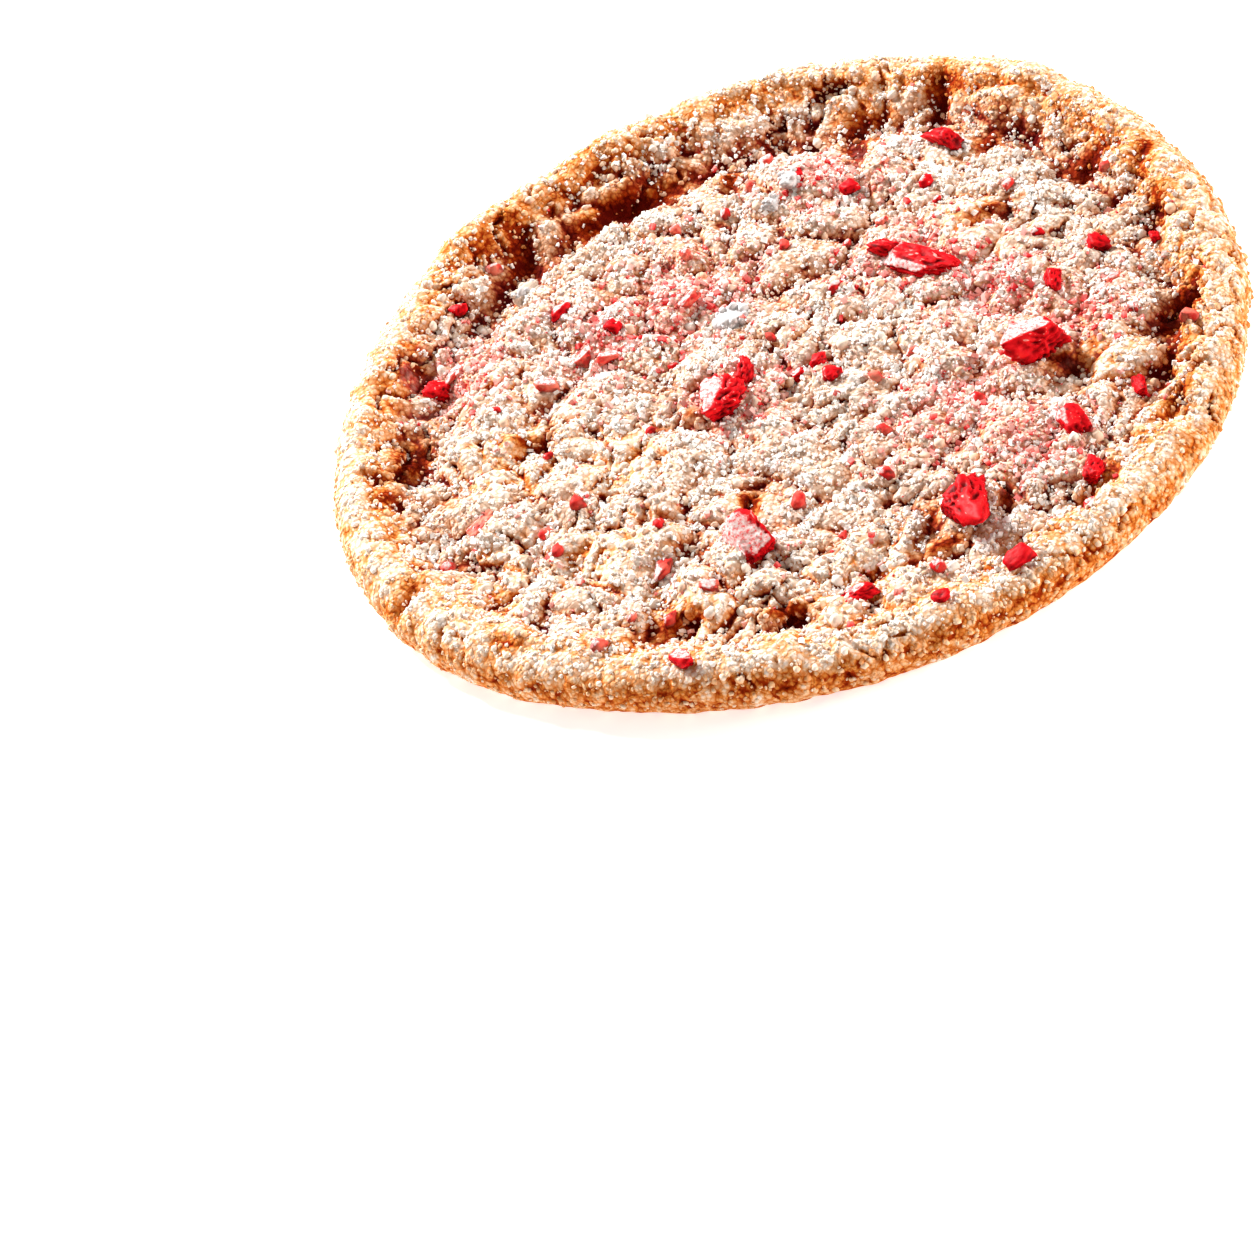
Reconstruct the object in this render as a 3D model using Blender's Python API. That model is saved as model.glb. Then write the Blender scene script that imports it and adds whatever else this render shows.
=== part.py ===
"""A thin crisp cookie with bits of freeze-dried strawberry baked into its top.

The cookie is one solid that lies flat on its base: a lumpy disc with a raised, rounded rim,
a broken trough inside the rim, and the berry bits and sugar clumps fused to its top.
Metres, +Z up. The origin is the middle of the base, and +Y points to the deepest stretch of trough.
"""

import math
import random

import bmesh
import bpy
from mathutils import Euler, Matrix, Vector, noise

MM = 0.001

# Driving dimensions, in millimetres until build() turns them into metres.
RADIUS = 33.0  # mean radius at the widest part of the edge
PLATEAU_HEIGHT = 3.8  # top of the crumb inside the trough
EDGE_HEIGHT = 1.6  # where the edge is widest
RIM_ROUND = 2.3  # how far in from the edge the rim's crest lies
FOOT_ROUND = 1.5  # how far in from the edge the flat base starts
THINNEST = 1.4  # the deepest pits keep this height over the base
EASING = 0.8  # heights within this much of THINNEST are eased towards it

# The outline is a circle with slow waves: (waves round the edge, size, angle of a crest in degrees).
OUTLINE_WAVES = ((3, 0.35, -55.0), (4, 0.18, 36.0), (5, 0.12, -19.0), (8, 0.07, -7.0))

# The rim and the trough are strongest on one side: (mean, swing, angle of the strong side in degrees).
RIM_RISE = (0.55, 0.6, 110.0)
RIM_WIDTH = 2.1
RIM_CALM = 0.6  # how much lower the lumps are on the rim
TROUGH_DEPTH = (0.95, 0.6, 100.0)
TROUGH_INSET = (6.4, 1.7, 105.0)
TROUGH_WIDTH = 1.7

# Crumb relief: domes with creases between them, and finer knobs.
LUMP_SIZE = 4.6
LUMP_RISE = 1.3
DOME_REACH = 0.8  # radius of a dome, as a share of LUMP_SIZE
DOME_SHARE = 0.5  # how much of the rise is the dome's, the rest being the crease's
CREASE_SHARE = 0.42  # share of a lump's half width that its crease takes
SHALLOWEST_CREASE = 0.45  # as a share of the deepest
WARP_SIZE = 6.0
WARP_REACH = 2.4
WARP_LAYERS = (31.0, 67.0)
SWELL_SIZE = 13.0
SWELL_RISE = 0.35
KNOB_SIZE = 2.3
KNOB_RISE = 0.4
RIM_KNOB_RISE = 0.25
KNOB_LAYERS = 2
KNOB_FALLOFF = 0.9
KNOB_SCALING = 2.1  # each layer of knobs is this much finer than the one before

# Pits and cracks in the trough and the rim: (x, y, length, width, depth, heading in degrees).
PIT_STEEPNESS = 0.9
PITS = (
    (-6.8, 23.2, 7.0, 2.4, 1.3, 12.0),
    (-15.2, 21.0, 4.6, 1.6, 1.1, 84.0),
    (-24.6, 11.8, 3.6, 1.5, 0.9, 52.0),
    (-26.2, 3.0, 4.2, 1.8, 1.2, 66.0),
    (-28.4, -1.2, 2.4, 1.4, 0.8, 80.0),
    (1.0, 21.6, 3.0, 1.5, 0.9, 70.0),
    (10.2, 20.6, 4.4, 1.5, 1.2, 84.0),
    (17.2, 22.0, 4.0, 1.5, 1.0, 64.0),
    (24.8, 9.2, 3.4, 1.6, 1.1, -8.0),
    (28.4, 6.4, 3.6, 1.3, 0.9, 68.0),
    (27.6, 0.4, 2.8, 1.3, 0.9, 74.0),
    (26.4, -9.6, 5.0, 2.0, 1.5, 52.0),
    (24.4, -14.0, 3.4, 1.3, 1.0, 66.0),
    (23.4, -19.6, 3.6, 1.4, 0.9, 48.0),
    (16.6, -24.6, 3.4, 1.3, 0.8, 40.0),
    (6.0, -25.6, 4.4, 1.3, 0.9, 4.0),
    (-5.0, -26.4, 5.0, 1.4, 0.9, -6.0),
    (-12.4, -23.6, 4.0, 1.3, 0.8, 10.0),
    (-23.0, -21.0, 3.2, 1.3, 0.7, -40.0),
    (-28.6, -11.6, 2.6, 1.2, 0.7, 20.0),
    (-18.2, -0.4, 4.6, 1.4, 0.8, -14.0),
    (17.4, 7.0, 3.8, 1.4, 0.8, 0.0),
    (18.8, 15.4, 3.4, 1.6, 0.8, 30.0),
    (17.8, -11.7, 3.4, 1.6, 0.9, 15.0),
    (5.9, -22.4, 2.6, 1.4, 0.8, 80.0),
    (10.9, -23.1, 3.0, 1.4, 0.9, 75.0),
    (-5.1, -14.8, 3.4, 2.0, 1.0, 70.0),
    (-6.9, -4.3, 2.6, 1.3, 0.7, -20.0),
)

# Bits of berry that are told apart by eye: (x, y, length, width, height, heading in degrees).
BERRIES = (
    (16.9, -8.6, 5.0, 4.3, 3.3, 12.0),
    (11.5, 4.3, 6.0, 2.5, 2.0, -42.0),
    (8.3, -22.2, 6.6, 3.4, 2.5, 84.0),
    (-4.6, -3.1, 4.6, 3.4, 2.9, 68.0),
    (-6.0, -18.6, 3.8, 3.0, 3.0, -72.0),
    (16.6, 17.2, 3.0, 2.1, 1.8, -70.0),
    (-23.8, 11.0, 2.4, 2.0, 1.4, 60.0),
    (-13.7, 13.0, 2.1, 1.7, 1.2, 15.0),
    (-0.3, -26.2, 3.2, 1.9, 1.3, 14.0),
    (10.3, -29.0, 2.2, 1.8, 1.2, 5.0),
    (17.1, -18.2, 2.8, 1.9, 1.3, -80.0),
    (22.1, -15.8, 2.6, 1.2, 1.2, 88.0),
    (-23.1, -6.1, 3.0, 1.6, 1.1, 38.0),
    (-12.1, -17.3, 2.2, 1.3, 1.1, 62.0),
    (-12.7, -27.9, 2.0, 1.4, 1.2, -70.0),
    (17.0, -23.2, 2.5, 1.5, 1.2, 72.0),
    (19.6, -2.8, 2.4, 1.5, 1.1, 66.0),
    (23.4, -0.6, 2.0, 1.5, 1.1, -20.0),
    (-16.2, 5.5, 2.0, 1.4, 1.0, -15.0),
    (-11.5, 6.2, 1.9, 1.1, 0.9, 12.0),
    (-10.4, 8.9, 1.6, 1.2, 0.9, -60.0),
    (8.8, 15.5, 1.5, 1.4, 1.0, 25.0),
    (-2.6, -1.1, 2.4, 1.4, 1.7, 75.0),
    (0.9, -2.2, 1.4, 1.2, 0.9, 0.0),
    (2.4, -2.2, 1.5, 1.2, 1.0, 50.0),
    (2.8, -4.6, 1.5, 1.3, 0.9, -30.0),
    (8.8, -4.0, 1.4, 0.9, 0.9, 60.0),
    (-20.9, 18.0, 1.5, 1.2, 0.9, -40.0),
    (-22.3, 12.0, 2.2, 0.9, 0.8, 34.0),
    (5.7, 18.6, 1.8, 0.9, 0.8, 84.0),
    (-4.8, 8.9, 2.0, 1.0, 0.8, 24.0),
    (-13.2, 7.6, 1.6, 1.2, 0.8, 48.0),
    (4.6, -30.4, 1.5, 1.0, 0.8, -28.0),
    (27.3, -1.2, 1.3, 0.9, 0.8, 80.0),
    (-9.6, -21.5, 1.5, 0.9, 0.8, -24.0),
    (16.0, -26.0, 1.5, 1.0, 0.8, 42.0),
    (9.6, 6.9, 2.6, 1.4, 1.5, -62.0),
)

# Clumps of sugar: (x, y, length, width, height, heading in degrees).
SUGAR_CLUMPS = (
    (-2.2, 6.4, 3.4, 2.4, 1.5, 25.0),
    (5.0, 18.1, 2.4, 1.8, 1.3, 74.0),
    (-15.6, 17.4, 2.8, 2.1, 1.1, 40.0),
    (3.1, 16.3, 1.8, 1.3, 0.9, 0.0),
)

# Smaller scraps of berry, strewn inside the rim by a seeded rule.
SCRAP_COUNT = 40
SCRAP_SIZES = (0.8, 1.4)
SCRAP_REACH = 29.5
SCRAP_GAP = 2.2
SCRAP_SEED = 7
SCRAP_FORM = (1.0, 0.75, 0.8)  # length, width and height as shares of its size

SUNK_SHARE = 0.36  # share of a topping's height that lies in the crumb
BITE_SHARE = 0.22  # how ragged a topping is, as a share of its size
TOPPING_TILT = 0.25  # radians
FINE_TOPPING = 2.3  # toppings longer than this get four times the faces

# Mesh density. Each ring has six more points than the ring inside it.
TOP_RINGS = 28
UPPER_EDGE_RINGS = 3
LOWER_EDGE_RINGS = 2

CRUMB_COLOUR = (0.80, 0.56, 0.32, 1.0)
CRUMB_ROUGHNESS = 0.9
SHARP_FROM = 35.0  # degrees between two faces from which their edge is shaded sharp


def swing(driver, angle):
    """A value that is strongest on one side of the cookie."""
    mean, size, strong_side = driver
    return mean + size * math.cos(angle - math.radians(strong_side))


def outline(angle):
    """Radius of the widest part of the edge."""
    waves = (size * math.cos(count * (angle - math.radians(crest))) for count, size, crest in OUTLINE_WAVES)
    return RADIUS + sum(waves)


def bell(distance, width):
    return math.exp(-((distance / width) ** 2))


def pit_depth(x, y):
    """How far the listed pits lower the top. They overlap without adding up."""
    deepest = 0.0
    for pit_x, pit_y, length, width, depth, heading in PITS:
        turn = math.radians(heading)
        along = (x - pit_x) * math.cos(turn) + (y - pit_y) * math.sin(turn)
        across = (y - pit_y) * math.cos(turn) - (x - pit_x) * math.sin(turn)
        reach = (2 * along / length) ** 2 + (2 * across / width) ** 2
        deepest = max(deepest, depth * math.exp(-reach * PIT_STEEPNESS))
    return deepest


def warped(x, y):
    """A place on the top, pushed about so that the crumb's lumps aren't even."""
    shifts = [noise.noise(Vector((x, y, layer)) / WARP_SIZE) for layer in WARP_LAYERS]
    return Vector((x, y, 0.0)) + Vector((shifts[0], shifts[1], 0.0)) * WARP_REACH


def lumps(x, y):
    """Domes of crumb, up to LUMP_RISE high, with creases between them."""
    place = warped(x, y)
    distances = noise.voronoi(place / LUMP_SIZE)[0]
    dome = 1.0 - min(1.0, distances[0] / DOME_REACH) ** 2
    openness = min(1.0, (distances[1] - distances[0]) / CREASE_SHARE)
    fade = 0.5 + 0.5 * noise.noise(place / SWELL_SIZE)
    depth = SHALLOWEST_CREASE + (1.0 - SHALLOWEST_CREASE) * fade
    crease = depth * (1.0 - openness) ** 2
    return LUMP_RISE * (DOME_SHARE * dome + (1.0 - DOME_SHARE) * (1.0 - crease))


def knobs(place):
    """Fine lumpiness, mostly between -1 and 1."""
    return noise.fractal(place / KNOB_SIZE, KNOB_FALLOFF, KNOB_SCALING, KNOB_LAYERS)


def kept_thick(height):
    """The height, or where it is low a gentler one that stays above THINNEST."""
    excess = height - THINNEST - EASING
    return height if excess > 0 else THINNEST + EASING * math.exp(excess / EASING)


def top_height(x, y):
    """Height of the cookie's top over its base, inside the rim's crest."""
    angle = math.atan2(y, x)
    inset = outline(angle) - math.hypot(x, y)
    rim = swing(RIM_RISE, angle) * bell(inset - RIM_ROUND, RIM_WIDTH)
    trough = swing(TROUGH_DEPTH, angle) * bell(inset - swing(TROUGH_INSET, angle), TROUGH_WIDTH)
    swell = SWELL_RISE * noise.noise(Vector((x, y, 9.0)) / SWELL_SIZE)
    fine = KNOB_RISE * knobs(Vector((x, y, 0.0)))
    calm = 1.0 - RIM_CALM * bell(inset - RIM_ROUND, RIM_WIDTH)
    crumb = calm * (lumps(x, y) - LUMP_RISE)
    return kept_thick(PLATEAU_HEIGHT + rim - trough + swell + fine + crumb - pit_depth(x, y))


def crest_point(angle):
    radius = outline(angle) - RIM_ROUND
    x, y = radius * math.cos(angle), radius * math.sin(angle)
    return radius, top_height(x, y)


def edge_point(angle, roll):
    """A point of the rounded edge. roll turns from 90 degrees at the crest to -90 degrees at the foot."""
    widest = outline(angle)
    if roll >= 0:
        rise = crest_point(angle)[1] - EDGE_HEIGHT
        radius = widest - RIM_ROUND * (1.0 - math.cos(roll))
    else:
        rise = EDGE_HEIGHT
        radius = widest - FOOT_ROUND * (1.0 - math.cos(roll))
    height = EDGE_HEIGHT + rise * math.sin(roll)
    direction = Vector((math.cos(angle), math.sin(angle), 0.0))
    place = direction * radius + Vector((0.0, 0.0, height))
    outward = direction * math.cos(roll) + Vector((0.0, 0.0, math.sin(roll)))
    bump = RIM_KNOB_RISE * knobs(place) * math.cos(roll)  # none where the edge meets the top and the base
    return place + outward * bump


def add_ring(bm, count, point_at):
    return [bm.verts.new(point_at(2.0 * math.pi * step / count)) for step in range(count)]


def join_growing_rings(bm, inner, outer):
    """Triangles between two rings of the top, where the outer one has six more points."""
    per_side, wider = len(inner) // 6, len(outer) // 6
    for side in range(6):
        for step in range(wider):
            a = outer[side * wider + step]
            b = outer[(side * wider + step + 1) % len(outer)]
            c = inner[(side * per_side + step) % len(inner)]
            bm.faces.new((a, b, c))
            if step < per_side:
                d = inner[(side * per_side + step + 1) % len(inner)]
                bm.faces.new((c, b, d))


def join_equal_rings(bm, upper, lower):
    count = len(upper)
    for step in range(count):
        after = (step + 1) % count
        bm.faces.new((upper[step], lower[step], lower[after]))
        bm.faces.new((upper[step], lower[after], upper[after]))


def add_top(bm):
    """The top as rings round its middle point, out to the rim's crest. Returns the crest's ring."""
    middle = bm.verts.new((0.0, 0.0, top_height(0.0, 0.0)))
    inner = []
    for ring in range(1, TOP_RINGS + 1):
        share = ring / TOP_RINGS

        def point_at(angle, share=share):
            radius = share * crest_point(angle)[0]
            x, y = radius * math.cos(angle), radius * math.sin(angle)
            return x, y, top_height(x, y)

        outer = add_ring(bm, 6 * ring, point_at)
        if inner:
            join_growing_rings(bm, inner, outer)
        else:
            for step in range(6):
                bm.faces.new((outer[step], outer[(step + 1) % 6], middle))
        inner = outer
    return inner


def add_edge(bm, crest):
    """The rounded edge from the crest down to the flat base. Returns the base's ring."""
    rolls = [90.0 - 90.0 * step / UPPER_EDGE_RINGS for step in range(1, UPPER_EDGE_RINGS + 1)]
    rolls += [-90.0 * step / LOWER_EDGE_RINGS for step in range(1, LOWER_EDGE_RINGS + 1)]
    upper = crest
    for roll in rolls:
        lower = add_ring(bm, len(crest), lambda angle, roll=roll: edge_point(angle, math.radians(roll)))
        join_equal_rings(bm, upper, lower)
        upper = lower
    return upper


def new_object(name, bm, collection):
    bmesh.ops.recalc_face_normals(bm, faces=bm.faces)
    mesh = bpy.data.meshes.new(name)
    bm.to_mesh(mesh)
    bm.free()
    made = bpy.data.objects.new(name, mesh)
    collection.objects.link(made)
    return made


def make_body():
    bm = bmesh.new()
    foot = add_edge(bm, add_top(bm))
    for vertex in foot:
        vertex.co.z = 0.0
    bm.faces.new(reversed(foot))
    return new_object("cookie", bm, bpy.context.scene.collection)


def make_topping(name, collection, place, sizes, heading, seed):
    """A ragged bit that sits in the crumb: a low ball with bites pressed into it."""
    x, y = place
    length, width, height = sizes
    rough = random.Random(seed)
    bm = bmesh.new()
    bmesh.ops.create_icosphere(bm, subdivisions=2 if length > FINE_TOPPING else 1, radius=0.5)
    for vertex in bm.verts:
        vertex.co *= 1.0 + BITE_SHARE * rough.uniform(-1.0, 0.6)
    tilts = [rough.uniform(-TOPPING_TILT, TOPPING_TILT) for axis in range(2)]
    turn = Euler((*tilts, math.radians(heading)))
    bm.transform(turn.to_matrix().to_4x4() @ Matrix.Diagonal((length, width, height, 1.0)))
    base = top_height(x, y)
    bm.transform(Matrix.Translation((x, y, base + height * (0.5 - SUNK_SHARE))))
    return new_object(name, bm, collection)


def strewn_scraps(taken):
    """Seeded places and sizes of the small scraps, clear of the listed toppings and of each other."""
    rule = random.Random(SCRAP_SEED)
    places = list(taken)
    scraps = []
    while len(scraps) < SCRAP_COUNT:
        angle = rule.uniform(0.0, 2.0 * math.pi)
        radius = SCRAP_REACH * math.sqrt(rule.random())
        x, y = radius * math.cos(angle), radius * math.sin(angle)
        size = rule.uniform(*SCRAP_SIZES)
        if all(math.dist((x, y), other[:2]) > SCRAP_GAP + other[2] for other in places):
            places.append((x, y, 0.0))
            scraps.append((x, y, *(size * share for share in SCRAP_FORM), math.degrees(angle)))
    return scraps


def make_toppings(collection):
    listed = BERRIES + SUGAR_CLUMPS
    taken = [(x, y, length / 2) for x, y, length, width, height, heading in listed]
    for number, (x, y, length, width, height, heading) in enumerate(listed + tuple(strewn_scraps(taken))):
        name = f"topping_{number:03d}"
        make_topping(name, collection, (x, y), (length, width, height), heading, number)


def fuse(body, collection):
    """One Boolean union of the body with every topping, applied, and the toppings removed."""
    union = body.modifiers.new("toppings", "BOOLEAN")
    union.operation = "UNION"
    union.operand_type = "COLLECTION"
    union.collection = collection
    union.solver = "EXACT"
    depsgraph = bpy.context.evaluated_depsgraph_get()
    fused = bpy.data.meshes.new_from_object(body.evaluated_get(depsgraph))
    body.modifiers.clear()
    body.data = fused
    for topping in list(collection.objects):
        bpy.data.objects.remove(topping)
    bpy.data.collections.remove(collection)


def centre_and_scale(body):
    """Puts the middle of the base at the origin and turns millimetres into metres."""
    lows = [min(vertex.co[axis] for vertex in body.data.vertices) for axis in range(3)]
    highs = [max(vertex.co[axis] for vertex in body.data.vertices) for axis in range(3)]
    middle = Vector(((lows[0] + highs[0]) / 2, (lows[1] + highs[1]) / 2, lows[2]))
    body.data.transform(Matrix.Scale(MM, 4) @ Matrix.Translation(-middle))


def give_material(body):
    crumb = bpy.data.materials.new("crumb")
    crumb.use_nodes = True
    surface = crumb.node_tree.nodes["Principled BSDF"]
    surface.inputs["Base Color"].default_value = CRUMB_COLOUR
    surface.inputs["Roughness"].default_value = CRUMB_ROUGHNESS
    body.data.materials.clear()
    body.data.materials.append(crumb)


def build():
    for leftover in list(bpy.data.objects):
        bpy.data.objects.remove(leftover)
    toppings = bpy.data.collections.new("toppings")
    bpy.context.scene.collection.children.link(toppings)
    body = make_body()
    make_toppings(toppings)
    bpy.context.view_layer.update()
    fuse(body, toppings)
    centre_and_scale(body)
    give_material(body)
    body.data.shade_smooth()
    body.data.set_sharp_from_angle(angle=math.radians(SHARP_FROM))


build()
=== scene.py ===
"""The looks of the thin crisp cookie: a cragged crumb, sugar and crumb grains, and freeze-dried berry bits.

The crumb's form repeats the named values and the height rule of the cookie's solid, and adds finer relief.
Lengths are millimetres until a mesh is made, and places are seen from above with +Y away from the camera.
"""

import math
import random
from typing import NamedTuple

import bmesh
import bpy
import numpy as np
from mathutils import Euler, Matrix, Vector, noise


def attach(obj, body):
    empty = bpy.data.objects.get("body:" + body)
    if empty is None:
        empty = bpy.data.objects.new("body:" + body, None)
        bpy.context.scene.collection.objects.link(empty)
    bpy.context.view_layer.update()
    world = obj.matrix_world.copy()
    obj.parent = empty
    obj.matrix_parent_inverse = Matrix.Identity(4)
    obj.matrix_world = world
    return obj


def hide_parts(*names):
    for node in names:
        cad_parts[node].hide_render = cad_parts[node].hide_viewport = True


MM = 0.001

# The solid's form. The outline is drawn round its own centre, which lies here in the frame. Its waves are
# (count, size, crest in degrees), and here and below what swings round the cookie is (mean, swing, angle of
# the strong side in degrees).
OUTLINE_CENTRE = (0.333, -0.023)
RADIUS = 33.0
PLATEAU_HEIGHT = 3.8
EDGE_HEIGHT = 1.6
RIM_ROUND = 2.3
FOOT_ROUND = 1.5
THINNEST = 1.4
EASING = 0.8
OUTLINE_WAVES = ((3, 0.35, -55.0), (4, 0.18, 36.0), (5, 0.12, -19.0), (8, 0.07, -7.0))
RIM_RISE = (0.55, 0.6, 110.0)
RIM_WIDTH = 2.1
RIM_CALM = 0.6
TROUGH_DEPTH = (0.95, 0.6, 100.0)
TROUGH_INSET = (6.4, 1.7, 105.0)
TROUGH_WIDTH = 1.7
LUMP_SIZE = 4.6
LUMP_RISE = 1.3
DOME_REACH = 0.8
DOME_SHARE = 0.5
CREASE_SHARE = 0.42
SHALLOWEST_CREASE = 0.45
WARP_SIZE = 6.0
WARP_REACH = 2.4
WARP_LAYERS = (31.0, 67.0)
SWELL_SIZE = 13.0
SWELL_RISE = 0.35
KNOB_SIZE = 2.3
KNOB_RISE = 0.4
RIM_KNOB_RISE = 0.25
KNOB_LAYERS = 2
KNOB_FALLOFF = 0.9
KNOB_SCALING = 2.1

# Pits and cracks: (x, y, length, width, depth, heading in degrees).
PIT_STEEPNESS = 0.9
PITS = (
    (-6.8, 23.2, 7.0, 2.4, 1.3, 12.0),
    (-15.2, 21.0, 4.6, 1.6, 1.1, 84.0),
    (-24.6, 11.8, 3.6, 1.5, 0.9, 52.0),
    (-26.2, 3.0, 4.2, 1.8, 1.2, 66.0),
    (-28.4, -1.2, 2.4, 1.4, 0.8, 80.0),
    (1.0, 21.6, 3.0, 1.5, 0.9, 70.0),
    (10.2, 20.6, 4.4, 1.5, 1.2, 84.0),
    (17.2, 22.0, 4.0, 1.5, 1.0, 64.0),
    (24.8, 9.2, 3.4, 1.6, 1.1, -8.0),
    (28.4, 6.4, 3.6, 1.3, 0.9, 68.0),
    (27.6, 0.4, 2.8, 1.3, 0.9, 74.0),
    (26.4, -9.6, 5.0, 2.0, 1.5, 52.0),
    (24.4, -14.0, 3.4, 1.3, 1.0, 66.0),
    (23.4, -19.6, 3.6, 1.4, 0.9, 48.0),
    (16.6, -24.6, 3.4, 1.3, 0.8, 40.0),
    (6.0, -25.6, 4.4, 1.3, 0.9, 4.0),
    (-5.0, -26.4, 5.0, 1.4, 0.9, -6.0),
    (-12.4, -23.6, 4.0, 1.3, 0.8, 10.0),
    (-23.0, -21.0, 3.2, 1.3, 0.7, -40.0),
    (-28.6, -11.6, 2.6, 1.2, 0.7, 20.0),
    (-18.2, -0.4, 4.6, 1.4, 0.8, -14.0),
    (17.4, 7.0, 3.8, 1.4, 0.8, 0.0),
    (18.8, 15.4, 3.4, 1.6, 0.8, 30.0),
    (17.8, -11.7, 3.4, 1.6, 0.9, 15.0),
    (5.9, -22.4, 2.6, 1.4, 0.8, 80.0),
    (10.9, -23.1, 3.0, 1.4, 0.9, 75.0),
    (-5.1, -14.8, 3.4, 2.0, 1.0, 70.0),
    (-6.9, -4.3, 2.6, 1.3, 0.7, -20.0),
)

# Bits of berry: (x, y, length, width, height, heading in degrees, share of its sides that are pale,
# how far its red has faded to salmon).
BERRIES = (
    (16.9, -8.6, 5.0, 4.3, 3.3, 12.0, 0.55, 0.0),
    (11.3, 4.5, 6.8, 2.8, 2.0, -42.0, 0.35, 0.0),
    (8.3, -22.2, 6.6, 3.4, 2.5, 84.0, 0.0, 0.0),
    (-4.6, -3.1, 4.6, 3.4, 2.9, 68.0, 0.2, 0.0),
    (-6.0, -18.6, 3.8, 3.0, 3.0, -72.0, 0.5, 0.0),
    (16.6, 17.2, 3.0, 2.1, 1.8, -70.0, 0.1, 0.0),
    (-23.8, 11.0, 2.4, 2.0, 1.4, 60.0, 0.0, 0.0),
    (-13.7, 13.0, 2.1, 1.7, 1.2, 15.0, 0.2, 0.0),
    (-0.3, -26.2, 3.2, 1.9, 1.3, 14.0, 0.2, 0.0),
    (10.3, -29.0, 2.2, 1.8, 1.2, 5.0, 0.1, 0.0),
    (17.1, -18.2, 2.8, 1.9, 1.3, -80.0, 0.3, 0.0),
    (22.1, -15.8, 2.6, 1.2, 1.2, 88.0, 0.0, 0.0),
    (-23.1, -6.1, 3.0, 1.6, 1.1, 38.0, 0.1, 0.8),
    (-12.1, -17.3, 2.2, 1.3, 1.1, 62.0, 0.2, 0.3),
    (-12.7, -27.9, 2.0, 1.4, 1.2, -70.0, 0.3, 0.0),
    (17.0, -23.2, 2.5, 1.5, 1.2, 72.0, 0.0, 0.0),
    (19.6, -2.8, 2.4, 1.5, 1.1, 66.0, 0.2, 0.0),
    (23.4, -0.6, 2.0, 1.5, 1.1, -20.0, 0.2, 0.0),
    (-16.2, 5.5, 2.0, 1.4, 1.0, -15.0, 0.4, 0.6),
    (-11.5, 6.2, 1.9, 1.1, 0.9, 12.0, 0.3, 0.4),
    (-10.4, 8.9, 1.6, 1.2, 0.9, -60.0, 0.0, 0.0),
    (8.8, 15.5, 1.5, 1.4, 1.0, 25.0, 0.2, 0.0),
    (-2.6, -1.1, 2.4, 1.4, 1.7, 75.0, 0.0, 0.0),
    (0.9, -2.2, 1.4, 1.2, 0.9, 0.0, 0.2, 0.0),
    (2.4, -2.2, 1.5, 1.2, 1.0, 50.0, 0.0, 0.0),
    (2.8, -4.6, 1.5, 1.3, 0.9, -30.0, 0.0, 0.0),
    (8.8, -4.0, 1.4, 0.9, 0.9, 60.0, 0.2, 0.4),
    (-20.9, 18.0, 1.5, 1.2, 0.9, -40.0, 0.3, 0.0),
    (-22.3, 12.0, 2.2, 0.9, 0.8, 34.0, 0.3, 0.5),
    (5.7, 18.6, 1.8, 0.9, 0.8, 84.0, 0.0, 0.0),
    (-4.8, 8.9, 2.0, 1.0, 0.8, 24.0, 0.3, 0.5),
    (-13.2, 7.6, 1.6, 1.2, 0.8, 48.0, 0.3, 0.5),
    (4.6, -30.4, 1.5, 1.0, 0.8, -28.0, 0.0, 0.0),
    (27.3, -1.2, 1.3, 0.9, 0.8, 80.0, 0.0, 0.0),
    (-9.6, -21.5, 1.5, 0.9, 0.8, -24.0, 0.2, 0.4),
    (16.0, -26.0, 1.5, 1.0, 0.8, 42.0, 0.2, 0.0),
    (9.6, 6.7, 2.8, 1.6, 1.6, -50.0, 0.1, 0.0),
)

# Clumps of sugar: (x, y, length, width, height, heading in degrees, how crumbly it looks).
SUGAR_CLUMPS = (
    (-2.2, 6.4, 3.4, 2.4, 1.5, 25.0, 0.0),
    (5.0, 18.1, 2.4, 1.8, 1.3, 74.0, 0.0),
    (-15.6, 17.4, 2.8, 2.1, 1.1, 40.0, 1.0),
    (3.1, 16.3, 1.8, 1.3, 0.9, 0.0, 0.3),
)

# Smaller scraps of berry, strewn by the same seeded rule as on the solid.
SCRAP_COUNT = 40
SCRAP_SIZES = (0.8, 1.4)
SCRAP_REACH = 29.5
SCRAP_GAP = 2.2
SCRAP_SEED = 7
SCRAP_FORM = (1.0, 0.75, 0.8)
SUNK_SHARE = 0.36
TALLEST = 5.6
TOPPING_TILT = 0.25

# How a bit of berry is broken: a block with its corners cut off. CRISPNESS is how sharply its sides meet.
BLOCK_SKEW = 0.28
BLOCK_OFFSETS = (0.85, 1.0)
CUTS = 6
CUT_OFFSETS = (1.0, 1.3)
CRISPNESS = 18.0
FOLD_SCALES = (2.6, 2.6, 4.5)  # along x, y and z, so that the folds lie in layers
FINE_FOLD_SCALE = 2.6
FINE_FOLD = 0.45
MEAN_FOLD = 0.5
WRINKLE = 0.20
PALE_CALM = 0.7  # how much smoother its pale sides are
PALE_TOWARD = (-0.5, 0.3, 0.8)
PALE_SPREAD = 1.1
# How much darker a bit of berry is painted towards its foot, as painted shade.
FOOT_DARKNESS = 1.8
FINENESS = ((3.3, 5), (2.3, 4), (0.0, 3))  # (longer than this, subdivisions)
SCRAP_FINENESS = 2
SCRAP_PALENESS = 0.4
SCRAP_FADE = 0.9
NOISE_SPAN = 50.0  # each bit reads the noise at its own random place within this

# Seeds of the random draws. Each bit and each clump adds its number in its list.
BERRY_SEED = 100
SCRAP_FORM_SEED = 300
CLUMP_SEED = 500
GRAIN_SEED = 2024

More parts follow.
